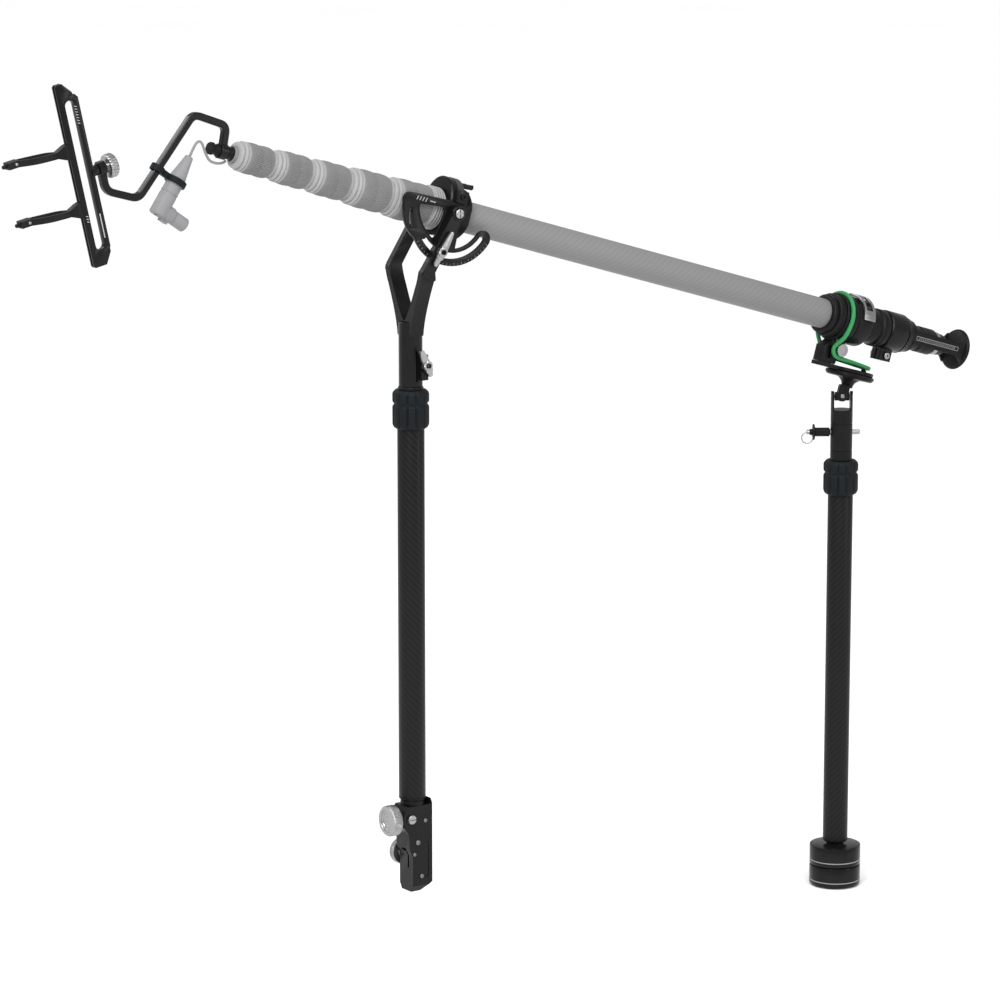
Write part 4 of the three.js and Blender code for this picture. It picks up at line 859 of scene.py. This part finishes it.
def addCradle():
    slab = block(-100, 400, -flat, flat, -200, 200)
    bore = rod(20.7, -100, 100, "x", 96)
    capBack = cradleFront + 20
    body = common(rod(30.5, cradleFront, cradleBack, "x", 128, 1.2), slab)
    grooves = [lathe([(29.6, a - 0.5), (32, a - 0.5), (32, a + 0.5), (29.6, a + 0.5)], "x",
                     128) for a in (15.5, 18, 20.5)]
    body = cut(body, block(cradleFront - 1, capBack + gap, -60, 60, 12, 80), bore, rod(3.3, -60, 60, "y", 32),
               *grooves)
    piece("cradle_body", body, black, "cradle", boom, ["cradle_ring"], bevel=0.7)
    cap = common(moved(rod(27, cradleFront, capBack, "x", 128, 1.5), (0, 0, 13)),
                 block(-100, 400, -flat, flat, 12.3, 200))
    cap = joined(cap, block(cradleFront + 5, capBack, -flat - 4, -flat + 4, 12.3, 27))
    piece("cradle_cap_body", cut(cap, rod(20.7, -100, 100, "x", 96)), glossBlack, "cradle_cap", boom,
          ["cradle_cap"],
          bevel=1.0, segments=3)
    # knurled grey band over the cap
    band = []
    for i in range(42):
        a = math.radians(32 + i * 116 / 41)
        rib = block(2.5, 11.5, -0.42, 0.42, -0.4, 0.35)
        rib.transform(Matrix.Translation((0, 27 * math.cos(a),
                                          13 + 27 * math.sin(a))) @ Matrix.Rotation(a - math.pi / 2, 4, "X"))
        band.append(rib)
    piece("cradle_cap_knurl", gathered(*band), greyEdge, "cradle_cap", boom, bevel=0.12)
    screw("cradle_cap_bolt", "cradle_cap", boom, (6, -flat - 4, 20), 3.6, 2.4, "hex", black)
    liner = lathe([(18.8, -7.4), (20.4, -7.4), (20.4, 25.6), (18.8, 25.6)], "x")
    piece("cradle_liner_sleeve", liner, plastic, "cradle", boom, ["cradle_liner"], bevel=0.2)
    wing = [(0, -1), (2.5, -2.2), (12, -2.4), (15, -2.2), (16.6, -0.6), (17, 1), (15.5, 3.8), (9, 3.2),
            (3, 3.4)]
    piece("cap_wing", moved(plate(wing, -9, 2), (capBack + gap, -4, 33.3)), plastic, "cradle_cap_lever", boom,
          ["cradle_cap_lever"], bevel=0.9, segments=3)


collars = [{"radius": 24.0, "grip": 43.4}, {"radius": 22.5, "grip": 40.0}, {"radius": 20.4, "grip": 37.0},
           {"radius": 19.3, "grip": 35.0}, {"radius": 18.0, "grip": 34.0}]
ribCount = 54


def tubeRadius(i):
    return boomRadius - i * 1.8


def addBoom():
    back = -7.7
    for i in range(6):
        last = i == 5
        length = 0 if last else 16 + collars[i]["grip"] + (13 if i == 0 else 0)
        front = back - length
        start = back - 3.5 if last else front + 17
        end = 735 if i == 0 else start + 560
        r = tubeRadius(i)
        tube = lathe([(r - 1.3, start), (r, start), (r, end), (r - 1.3, end)], "x", 96 if i == 0 else 64)
        name = "boom_main_tube" if i == 0 else f"boom_tube_{i + 1}"
        piece(f"{name}_skin", tube, greyCarbon, f"boom_{i + 1}", boom, [name], bevel=0.1)
        if not last:
            addBoomCollar(i, front, back, start)
        back = front - 0.4


def addBoomCollar(i, front, back, start):
    radius, grip = collars[i]["radius"], collars[i]["grip"]
    low, high = front + 12, front + 12 + grip
    bore, throat = tubeRadius(i) + gap, tubeRadius(i + 1) + gap
    rib = 0.85
    outline = [(throat, front), (radius - 5, front), (radius - 3.2, front + 0.8), (radius - 2.6, front + 2.4),
               (radius - 2.6, front + 4.2), (radius - 3.6, front + 4.6), (radius - 3.6, front + 5.4),
               (radius - 1.6, front + 5.8), (radius - 0.9, front + 6.8), (radius - 0.9, front + 8.6),
               (radius - 1.9, front + 9), (radius - 1.9, front + 9.8), (radius - 0.7, front + 10.2),
               (radius - 0.7, low - 0.6),
               (radius - 1.5, low)]
    steps = 14
    for k in range(steps + 1):
        t = k / steps
        swell = abs(math.sin(2 * math.pi * t)) ** 0.6
        outline.append((radius - 1.2 + 1.2 * swell, low + 0.8 + t * (grip - 1.6), rib if 0 < k < steps else 0))
    outline.append((radius - 2, high))
    if i == 0:
        for step in range(4):
            at = high + 1.4 + step * 3.6
            outline += [(radius - 1.6, at), (radius + 0.9, at + 0.5), (radius + 1.2, at + 0.9),
                        (radius + 1.2, at + 2.0),
                        (radius + 0.9, at + 2.4), (radius - 1.6, at + 2.9)]
        outline += [(radius - 1.5, back)]
    else:
        outline += [(radius - 3.4, high + 1.2), (radius - 3.4, back)]
    outline += [(bore, back), (bore, start - gap), (throat, start - gap)]
    mesh = lathe(outline, "x", ribs=ribCount, twist=0.006, twoTone=True)
    piece(f"boom_grip_{i + 1}", mesh, gripGrey, f"boom_collar_{i + 1}", boom, [f"boom_collar_{i + 1}"],
          bevel=0, sharp=40,
          second=ringGrey)


armBar = 8.5
barLean = math.radians(-12.7)
armEnd = (-455.0, -53.0)
holder = boom @ Matrix.Translation((armEnd[0], 0, armEnd[1])) @ Matrix.Rotation(barLean - boomTilt, 4, "Y")


def addTip():
    eyeBack, eyeFront = eyeMiddle + eyeHalf, eyeMiddle - eyeHalf
    plug = tubeRadius(5) - 1.6
    fitting = lathe([(0, eyeFront - 9), (4.6, eyeFront - 9), (4.6, eyeBack + gap), (6.6, eyeBack + gap),
                     (7.4, eyeBack + 1.2),
                     (7.4, tubeFront - 3), (6.8, tubeFront - 2.4), (7.4, tubeFront - 1.8),
                     (7.4, tubeFront - gap),
                     (plug, tubeFront - gap), (plug, tubeFront + 15), (0, tubeFront + 15)], "x", loop=False)
    piece("tip_fitting", fitting, black, "boom_6", boom, ["boom_tip_fitting"], bevel=0.15)
    f = eyeFront
    nut = lathe([(4.9, f - gap), (7, f - gap), (7, f - 3), (5.8, f - 4), (5.8, f - 7), (7.0, f - 8, 0.5),
                 (7.2, f - 8.6, 0.5),
                 (7.2, f - 12, 0.5), (6, f - 13.5), (0, f - 13.5), (0, f - 9.5), (4.9, f - 9.5)], "x", ribs=28)
    piece("tip_nut", nut, black, "tip_thumb_nut", boom, ["tip_thumb_nut"], bevel=0)
    up = (math.sin(barLean - boomTilt), math.cos(barLean - boomTilt))
    x, z = armEnd
    route = [(eyeMiddle, 0, 4), (eyeMiddle - 2.5, 0, 29), (eyeMiddle - 48, 0, 31.5), (eyeMiddle - 92, 0, -75),
             (x - 26 * up[0], 0, z - 26 * up[1]), (x + 8 * up[0], 0, z + 8 * up[1])]
    arm = sweep(roundedPath(route, 9), squareSection(armBar, 0.72))
    turn = math.degrees(barLean - boomTilt)
    eye = moved(rod(8, -armBar / 2, armBar / 2, "x"), (x, 0, z), turn)
    arm = joined(arm, rod(9, eyeFront, eyeBack, "x"), eye)
    arm = cut(arm, moved(rod(3.3, -20, 20, "x", 32), (x, 0, z), turn),
              rod(4.9, eyeFront - 20, eyeBack + 20, "x", 48))
    piece("offset_arm_bar", arm, glossBlack, "offset_arm", boom, ["offset_arm"], bevel=0.35)


def addSuspension():
    reach = armBar / 2 + gap
    edge = -reach - 6
    left = edge - 25.5
    half = 104.5
    outline = [(left, -half + 2), (left + 2, -half), (edge - 9, -half), (edge - 1, -half + 13),
               (edge - 1, -half + 17),
               (edge, -half + 19), (edge, half - 19), (edge - 3, half - 15), (edge - 6, half - 14),
               (edge - 6, half - 12),
               (left + 9, half), (left + 2, half), (left, half - 2)]
    mid = (left + edge) / 2 + 0.6
    slot = arc(mid, half - 26, 5.8, 0, 180, 20) + arc(mid, -half + 24, 5.8, 180, 360, 20)
    bar = plate(outline, -3.5, 3.5, [slot])
    bar = cut(bar, block(left - 1, left + 2.2, -1.6, 1.6, -half - 1, half + 1))
    bar = joined(bar, rod(6, edge - 3, -reach, "x"))
    bar = cut(bar, rod(3, edge - 4, 2, "x", 32))
    piece("suspension_frame", bar, glossBlack, "suspension_bar", holder, ["suspension_bar"], bevel=0.5)
    marks = [block(edge - 5.2, edge - 3.9, -3.56, -3.3, -75, -47)]
    for low, high, x in ((57, 80, edge - 5.5), (-52, -40, left + 5)):
        for i in range(int((high - low) / 3.2)):
            marks.append(moved(block(-1.5, 1.5, -3.56, -3.3, -0.4, 0.4), (x, 0, low + i * 3.2), 24))
    piece("suspension_marks", gathered(*marks), markGrey, "suspension_bar", holder, bevel=0)
    first = reach
    stem = first + 2.5
    outline = [(0, edge - 2), (2.7, edge - 2), (2.7, first), (6, first), (6, stem), (12.4, stem),
               (13.7, stem + 1.3, 0.9),
               (13.7, stem + 8, 0.9), (12.4, stem + 9.4), (9.6, stem + 9.4), (9.2, stem + 8.6), (0, stem + 8.6)]
    piece("suspension_knob_body", lathe(outline, "x", ribs=26, loop=False), silver, "suspension_knob", holder,
          ["suspension_knob"], bevel=0)
    for i, height in enumerate((29.6, -37.0)):
        addLyre(i + 1, left - gap, height)


def addLyre(number, start, height):
    foot = plate([(start, -9.5), (start, 9), (start - 4, 8), (start - 17, 2.6), (start - 18, 0),
                  (start - 17, -2.2),
                  (start - 5, -7.5)], -4, 4)
    rise = 6
    leaves = []
    for sign in (-1, 1):
        route = smoothPath([(start - 13, sign * 2.4, 0), (start - 24, sign * 7, rise * 0.25),
                            (start - 44, sign * 8, rise * 0.55),
                            (start - 66, sign * 4, rise)], 10)
        leaves.append(sweep(route,
                            [(-3.6, -1.3), (-3.0, -1.5), (3.0, -1.5), (3.6, -1.3), (3.6, 1.3), (3.0, 1.5),
                             (-3.0, 1.5),
                                    (-3.6, 1.3)]))
    tip = block(start - 76, start - 62, -6, 6, rise - 3.8, rise + 3.8)
    pin = moved(rod(2.2, start - 81, start - 75, "x", 32), (0, 0, rise))
    body = joined(foot, *leaves, tip, pin)
    ribs = [block(start - 16 + 2.2 * k, start - 15 + 2.2 * k, -4.4, -3.6, -2.4 - k * 0.7,
                  2.4 + k * 0.7) for k in range(6)]
    at = holder @ Matrix.Translation((0, 0, height))
    piece(f"lyre_clip_{number}", cut(body, *ribs), plastic, f"lyre_{number}", at, [f"lyre_{number}"], bevel=0.5)
    screw(f"lyre_pin_{number}", f"lyre_{number}", at, (start - 66, -6, rise), 1.7, 0.7, "hex", silver)


def addPlug():
    at = boom @ Matrix.Translation((eyeMiddle - 60.5, 0, -79.5)) @ Matrix.Rotation(math.atan2(21.1, 64.2), 4,
                                                                                   "Y")
    upright = lathe([(0, -8), (9.2, -8), (10.2, -7), (10.2, 18), (9.6, 18.5), (9.6, 19.7), (10.2, 20.2),
                     (10.2, 22),
                     (9.9, 22.4), (9.9, 30.7), (0, 30.7)], "z", loop=False)
    nose = lathe([(0, -2), (9.4, -2), (9.4, 16), (8.2, 17), (8.2, 19), (7.9, 19.3), (7.9, 20.3), (8.2, 20.6),
                  (8.2, 36.2),
                  (7.6, 37), (6.9, 37), (6.9, 30), (0, 30)], "x", loop=False)
    corner = moved(block(-30, -3, -20, 20, -30, 0), (-9, 0, -6), -45)
    body = cut(joined(upright, nose), block(-20, 40, -20, 20, -30, -9.4), corner)
    body = joined(body, block(5, 15, -3.4, 3.4, -11.4, -6))
    piece("plug_shell", body, greyPlastic, "offset_arm", at, ["plug_housing"], bevel=0.5)
    pins = [moved(rod(1.1, 30.4, 35.5, "x", 24), (0, 3.4 * math.cos(a), 3.4 * math.sin(a))) for a in (0.5, 2.6,
                                                                                                      4.7)]
    piece("plug_pins", gathered(*pins), silver, "offset_arm", at, bevel=0)
    outline = [(0, 31), (9.8, 31), (10.2, 31.4), (10.0, 36), (9.8, 39), (9.3, 41.5), (8.2, 47), (6.6, 56),
               (4.9, 66), (4.6, 67.2),
               (4.2, 67.6), (1.9, 67.6), (1.9, 59.6), (0, 59.6)]
    piece("plug_boot_cone", lathe(outline, "z", loop=False), greyPlastic, "offset_arm", at, ["plug_boot"],
          bevel=0.15)
    away, z0 = -28.6, 31.6
    strap = lathe([(10.5, z0), (12.2, z0), (12.6, z0 + 0.6), (12.6, z0 + 6.4), (12.2, z0 + 7), (10.5, z0 + 7)])
    loop = moved(lathe([(6.12, z0), (8.08, z0), (8.08, z0 + 7), (6.12, z0 + 7)]), (away, 0, 0))
    link = block(away + 7.3, -11.2, -3, 3, z0, z0 + 7)
    piece("strap", joined(strap, loop, link), rubber, "offset_arm", at, ["plug_strap"], bevel=0.4)


ringAt = 600.0
ringRadius = 30.0
rollerAt = (ringAt + 31, -39.0)
band = {"radius": 2.7, "sides": 18}
platformMiddle = ringAt + 68
platformTop = -58.0
discTop = -63.4
jointBelow = 94.0


def addRearClamp():
    bore = boomRadius + gap
    f = ringAt
    outline = [(bore, f), (22.4, f), (23.6, f + 0.6), (24.5, f + 1.5), (24.5, f + 5.6), (23.4, f + 6.2),
               (23.4, f + 7.2),
               (26.6, f + 7.8), (27.5, f + 9.0), (27.5, f + 12), (26.8, f + 12.4), (26.8, f + 13.2),
               (27.5, f + 13.6),
               (27.5, f + 17.4), (27.1, f + 17.7), (bore, f + 17.7)]
    piece("rear_front_collar", lathe(outline, "x", 128), ringBlack, "rear_clamp", boom, ["rear_front_ring"],
          bevel=0)
    r = ringRadius
    outline = [(bore, f + 18), (r - 0.6, f + 18), (r, f + 18.6), (r, f + 21), (r - 2.2, f + 22),
               (r - 2.2, f + 28),
               (r, f + 29), (r, f + 36.6), (r - 1.2, f + 37), (r - 1.2, f + 38.4), (r, f + 38.8), (r, f + 60),
               (r - 0.4, f + 61),
               (r - 3, f + 64), (22.4, f + 64), (22, f + 64.6), (22, f + 66), (21.2, f + 66.4),
               (21.2, f + 67.4), (22, f + 67.8),
               (22, f + 83.2), (21.6, f + 83.7), (bore, f + 83.7)]
    cheek = [(f + 20, -20), (f + 44, -20), (f + 40, -34), (f + 33, platformTop), (f + 10, platformTop),
             (f + 10, -38),
             (f + 20, -30)]
    body = joined(lathe(outline, "x", 128), plate(cheek, -8, 8))
    notch = moved(block(f + 36, f + 63, -16, -1, r - 3, r + 5), (0, 0, 0), 25, "X")
    body = cut(body, rod(bore, f - 1, f + 100, "x", 96), block(f + 19, f + 24, -20, 20, -52, -37),
               moved(rod(3.3, -30, 30, "y", 32), (rollerAt[0], 0, rollerAt[1])), notch)
    piece("rear_ring_body", body, black, "rear_clamp", boom, ["rear_ring"], bevel=0.5)
    inner = 8.3
    half = [(8.0, inner), (8.4, inner + 0.4, 0.5), (8.4, inner + 1.6, 0.5), (6.6, inner + 2.4),
            (6.6, inner + 9.2),
            (8.4, inner + 10, 0.5), (8.4, inner + 11.6, 0.5), (7.9, inner + 12), (5.2, inner + 12),
            (5, inner + 11.4),
            (0, inner + 11.4)]
    outline = [(q[0], -q[1], *q[2:]) for q in half[::-1]] + [(3, -inner), (3, inner)] + half
    mesh = lathe(outline, "y", ribs=30, loop=False)
    piece("rollers", moved(mesh, (rollerAt[0], 0, rollerAt[1])), silver, "band_rollers", boom,
          ["band_rollers"], bevel=0)
    addBand(f + 25, rollerAt[0], inner + 5.8)
    addLatch(f)
    screw("rear_ring_bolt", "rear_clamp", boom, (f + 28, -8, -28), 2.6, 1.6)


def addBand(groove, axle, y):
    r = ringRadius + band["radius"] - 1.6
    over = []
    for i in range(10):
        a = math.radians(-100 + 200 * i / 9)
        over.append((groove, r * math.sin(a), r * math.cos(a)))
    side = [(groove - 2, 27, -22), (axle - 10, y + 0.3, -37), (axle - 7.4, y, -46), (axle + 2, y, -49),
            (axle + 30, y - 2, -50.5), (axle + 56, 7, -52), (axle + 62, 3, -52.3)]
    left = [(x, -w, z) for x, w, z in side[::-1]]
    route = left + over + side
    closed = [Vector(p) for p in route[-2:] + route + route[:3]]
    path = smoothPath(closed, 8)[16:-25]
    mesh = sweep(path, ring(band["radius"], band["sides"]), True)
    piece("green_band", mesh, green, "rear_clamp", boom, ["elastic_band"], bevel=0, sharp=70)


def addLatch(f):
    outer, inner = ringRadius + 4.2, ringRadius + 1.2
    shape = arc(0, 0, outer, 78, 172, 40) + arc(0, 0, inner, 172, 78, 40)
    body = plate(shape, f + 42, f + 60, plane="yz")
    window = arc(0, 0, outer + 5, 104, 150, 20) + arc(0, 0, inner - 5, 150, 104, 20)
    body = cut(body, plate(window, f + 46, f + 56, plane="yz"))
    teeth = []
    for k in range(6):
        a = math.radians(156 + k * 3)
        tooth = block(f + 41, f + 61, -0.35, 0.35, -0.6, 0.6)
        tooth.transform(Matrix.Translation((0, outer * math.cos(a),
                                            outer * math.sin(a))) @ Matrix.Rotation(a - math.pi / 2, 4, "X"))
        teeth.append(tooth)
    piece("latch", cut(body, *teeth), silver, "rear_latch", boom, ["rear_latch"], bevel=0.6)
    pin = moved(rod(1.4, f + 40.5, f + 61.5, "x", 32), (0, 5, ringRadius + 2.6))
    piece("latch_pin", pin, steel, "rear_latch", boom, bevel=0)


def addPlatform():
    high = platformTop - gap
    low = discTop + gap
    deck = moved(rod(29, low, high, "z", 128, 0.8), (platformMiddle, 0, 0))
    deck = joined(deck, block(ringAt + 10, platformMiddle, -9.5, 9.5, low, high))
    deck = joined(deck, moved(rod(3.4, high - 0.5, high + 3.6, "z", 48), (ringAt + 89, 0, 0)))
    piece("platform", deck, black, "rear_clamp", boom, ["hanger_platform"], bevel=0.7)
    b = discTop - 6.4
    disc = lathe([(0, b - 12), (6.6, b - 12), (7, b - 11.6), (7.6, b - 8), (8.9, b - 5), (11, b - 3),
                  (13.6, b - 1), (17, b - 0.2),
                  (28, b), (29.6, b + 0.9), (29.6, b + 1.9), (31, b + 2.3), (31, discTop - 0.8),
                  (30.2, discTop),
                  (0, discTop)], "z", loop=False)
    disc = moved(disc, (platformMiddle - ringAt - 64, 0, 0))
    ears = []
    for y0 in (6.1, -9.4):
        shape = [(6.6, b - 11), (-6.6, b - 11), *arc(0, -jointBelow, 6.6, 180, 360, 24)]
        ears.append(plate(shape, y0, y0 + 3.3))
    ears.append(block(-6.6, 6.6, -9.4, 9.4, b - 12.4, b - 10))
    ears = cut(joined(*ears), moved(rod(2.9, -20, 20, "y", 32), (0, 0, -jointBelow)))
    ears = moved(ears, (0, 0, 0), -35, "Z")
    piece("hanger", moved(joined(disc, ears), (ringAt + 64, 0, 0)), black, "hanger_disc", boom,
          ["hanger_disc"], bevel=0.5)


def addTail():
    f = ringAt + 84
    bore = boomRadius + gap
    butt = lathe([(bore, f), (20.4, f), (21, f + 0.5), (23.4, f + 1.6), (24, f + 2.4), (24, f + 5),
                  (23.2, f + 5.4),
                  (23.2, f + 6.4), (24, f + 6.8), (24, f + 12), (22.5, f + 15.4), (bore, f + 15.4)], "x", 128)
    piece("butt_ring", butt, ringBlack, "boom_1", boom, ["boom_butt_ring"], bevel=0)
    a = f + 15.7
    z = a + 37
    clamp = lathe([(bore, a), (23.5, a), (25, a + 1.5), (25, z - 8), (24, z - 6.4), (22.8, z - 5.6),
                   (22.5, z - 4.6), (22.5, z),
                   (bore, z)], "x", 128)
    clamp = joined(clamp, block(a + 2, a + 20, -9, 9, -38, -21))
    clamp = cut(clamp, rod(bore, a - 5, z + 5, "x", 96), block(a - 1, a + 28, -1.2, 1.2, -40, -15),
                block(a + 27, a + 29, -30, 30, -40, 6), moved(rod(2.9, -20, 20, "y", 32), (a + 11, 0, -31)))
    piece("tail_clamp_body", clamp, glossBlack, "tail_cage", boom, ["tail_clamp"], bevel=0.8)
    bolt = lathe([(0, -12.6), (3.6, -12.6), (4.2, -12), (4.2, -9.3), (2.6, -9.3), (2.6, 9.3), (5.6, 9.3),
                  (6, 9.8, 0.5),
                  (6, 14.6, 0.5), (5.5, 15), (0, 15)], "y", ribs=24, loop=False)
    tool = lathe([(0, -14), (2, -14), (2, -10.6), (0, -10.6)], "y", 6, loop=False)
    piece("tail_bolt", moved(cut(bolt, tool), (a + 11, 0, -31)), silver, "tail_clamp_screw", boom,
          ["tail_clamp_screw"],
          bevel=0)
    c = z + gap
    core = lathe([(0, c + 0.5), (15.6, c + 0.5), (16, c + 1), (16, c + 20), (14.5, c + 21), (14.5, c + 22),
                  (16.4, c + 23),
                  (16.4, c + 30), (15.9, c + 30.4), (15.9, c + 31.2), (16.4, c + 31.6), (16.4, c + 46),
                  (13.5, c + 48),
                  (13.5, c + 62), (12, c + 68), (0, c + 68)], "x", loop=False)
    piece("tail_core", core, plastic, "tail_cage", boom, ["tail_connector_block"], bevel=0.3)
    trim = lathe([(13.6, c + 49), (14.6, c + 49), (14.6, c + 55), (13.6, c + 55)], "x")
    piece("tail_silver_ring", trim, silver, "tail_cage", boom, bevel=0.2)
    end = c + 90
    cage = lathe([(16.7, c), (20, c), (20.4, c + 0.5), (20.4, c + 7.5), (20, c + 8), (16.7, c + 8)], "x", 128)
    blade = [(c + 4, -8.6), (c + 74, -8.6), *curveTo((c + 74, -8.6), (c + 86, -9.2), (end + 1, -19)),
             (end + 1, 19),
             *curveTo((end + 1, 19), (c + 86, 9.2), (c + 74, 8.6)), (c + 4, 8.6)]
    cage = joined(cage, plate(blade, -20, -16.7), plate(blade, 16.7, 20))
    cage = common(cage, rod(26.4, c - 1, end + 20, "x", 128))
    disc = lathe([(0, end), (22, end), (24, end + 0.7), (25.2, end + 1.6), (26, end + 3.0), (26, end + 3.8),
                  (25.4, end + 4.6),
                  (24, end + 4.6), (20, end + 3.8), (0, end + 3.6)], "x", 128, loop=False)
    piece("tail_cage_body", joined(cage, disc), black, "tail_cage", boom, ["tail_cage"], bevel=0.5)
    y0, y1 = -20.06, -19.8
    marks = [block(c + 8, c + 80, y0, y1, h, h + 0.4) for h in (-2.6, 2.2)]
    marks += [block(x, x + 0.4, y0, y1, -2.6, 2.6) for x in (c + 8, c + 79.6)]
    for k in range(20):
        marks.append(moved(block(-0.25, 0.25, y0, y1, -1.6, 1.6), (c + 13 + k * 3.2, 0, 0), 30))
    piece("tail_hatch", gathered(*marks), markGrey, "tail_cage", boom, bevel=0)


def addCounterArm():
    turn = math.radians(-35)
    pin = Vector((-math.sin(turn) * math.cos(boomTilt), math.cos(turn), math.sin(turn) * math.sin(boomTilt)))
    heading = -math.atan2(pin.x, pin.y)
    place = jointPlace("joint_lower_pin")
    arm = Matrix.Translation(place) @ Matrix.Rotation(heading, 4, "Z")
    tipped = arm @ Matrix.Rotation(math.asin(pin.z), 4, "X")
    piece("joint_block", block(-9, 9, -5.8, 5.8, -5.4, 5.4), black, "joint_cross", tipped, ["joint_cross"],
          bevel=0.8,
          segments=3)
    pins = gathered(*[rod(2.6, side * low, side * high, axis, 32) if side > 0 else rod(2.6, -high, -low, axis,
                                                                                       32)
                      for side in (-1, 1) for axis, low, high in (("y", 5.9, 10), ("x", 9.1, 13.2))])
    piece("joint_pins", pins, silver, "joint_cross", tipped, bevel=0.2)
    r, low, high = 13.8, -81.0, -16.5
    head = lathe([(0, low), (r - 0.6, low), (r, low + 0.6), (r, low + 12), (r - 0.5, low + 12.4),
                  (r - 0.5, low + 13.2),
                  (r, low + 13.6), (r, high - 18.4), (r - 0.5, high - 18), (r - 0.5, high - 17.2),
                  (r, high - 16.8), (r, high - 1),
                  (r - 1, high), (0, high)], "z", 128, loop=False)
    cheek = [(-8, high - 1), (-6.6, 0), *arc(0, 0, 6.6, 180, 0, 24)[1:-1], (6.6, 0), (8, high - 1)]
    sides = [common(plate(cheek, x, x + 3.6, plane="yz"), rod(r, low, 20, "z", 128)) for x in (-r, 10.2)]
    head = joined(head, *sides)
    head = cut(head, rod(2.9, -20, 20, "x", 32), rod(10.8, low - 1, high - 6),
               moved(rod(3.3, -30, 30, "x", 32), (0, 0, -45.5)))
    piece("arm_head_body", head, black, "counter_arm", arm, ["arm_head"], bevel=0.35)
    inner = lathe([(0, high - 7), (10.5, high - 7), (10.5, low - gap), (13.5, low - gap), (13.5, -435.3),
                   (11.9, -435.3),
                   (11.9, low - 12), (0, low - 12)], "z", loop=False)
    inner = cut(inner, moved(rod(3.3, -30, 30, "x", 32), (0, 0, -45.5)))
    piece("arm_slider", inner, blackCarbon, "counter_arm", arm, ["arm_inner_tube"], bevel=0.15)
    place = arm @ Matrix.Translation((0, 0, -45.5))
    core = lathe([(0, -44), (2.6, -44), (3, -43.4), (3, 22), (2.4, 23), (0, 23)], "x", 64, loop=False)
    piece("lock_pin_core", core, silver, "arm_lock_pin", place, ["arm_lock_pin"], bevel=0.15)
    sleeve = lathe([(3.05, -40.5), (3.7, -40), (4, -36.6), (9.6, -36.2), (10.2, -35.6), (10.2, -34.6),
                    (9.6, -34), (5.6, -33),
                    (5.6, -r - 1.8), (3.05, -r - gap)], "x", 64)
    piece("lock_pin_sleeve", sleeve, black, "arm_lock_pin", place, bevel=0.15)
    loop = [Vector((-43 + 7 * math.cos(tau * i / 48), -0.2,
                    -7.5 + 7 * math.sin(tau * i / 48))) for i in range(48)]
    piece("lock_pin_ring", sweep(loop, ring(0.7, 12), True, Vector((0, 1, 0))), silver, "arm_lock_pin", place,
          bevel=0)
    collarHigh = low - gap
    tubeTop = collarHigh - 34
    collar = lobedCollar(21.9, collarHigh - 43.5, collarHigh, 16.1, 14.1, tubeTop + gap)
    piece("arm_collar", collar, rubber, "arm_lock_collar", arm, ["arm_lock_collar"], bevel=0, sharp=40)
    bottom = tubeTop - 462
    tube = lathe([(14, tubeTop), (15.8, tubeTop), (15.8, bottom + 2), (14, bottom), (0, bottom),
                  (0, bottom + 5), (14, bottom + 5)],
                 loop=True)
    piece("arm_tube_skin", tube, blackCarbon, "arm_tube", arm, ["arm_outer_tube"], bevel=0.15)
    above = bottom - gap
    for i, name in enumerate(("upper", "lower")):
        w = 32.5
        b = above - (3 if i == 0 else 0) - 25.5
        s = b + 25.5
        outline = [(0, b), (w - 1.6, b), (w - 0.4, b + 0.5), (w, b + 1.4), (w, b + 4.8), (w - 0.5, b + 5.1),
                   (w - 0.5, b + 6.7),
                   (w, b + 7.0), (w, s - 1.4), (w - 0.4, s - 0.5), (w - 1.6, s)]
        outline += [(11, s), (11, above), (0, above)] if i == 0 else [(0, s)]
        piece(f"weight_{name}_body", lathe(outline, "z", 160, loop=False), weightBlack, "arm_tube", arm,
              [f"weight_{name}"],
              bevel=0)
        inlay = lathe([(w - 0.6, b + 5.3), (w - 0.05, b + 5.3), (w - 0.05, b + 6.5), (w - 0.6, b + 6.5)], "z",
                      160)
        piece(f"weight_{name}_inlay", inlay, silver, "arm_tube", arm, bevel=0)
        above = b - 0.7


def addFloor():
    mesh = block(-30, 30, -30, 30, -0.2, 0)
    floor = bpy.data.objects.new("floor", mesh)
    floor.location = (0.3, 0, cadBox[0][2] - 0.002)
    floor.data.materials.append(floorPaint().material)
    scene.collection.objects.link(floor)


addCamera()
addStudio()
print("lead")
addLead()
print("base and mast")
addBase()
addMast()
print("fork")
addFork()
addLevers()
print("cradle")
addQuadrant()
addCradle()
print("boom")
addBoom()
print("tip")
addTip()
addSuspension()
addPlug()
print("rear clamp")
addRearClamp()
addPlatform()
addTail()
print("counterweight arm")
addCounterArm()
addFloor()
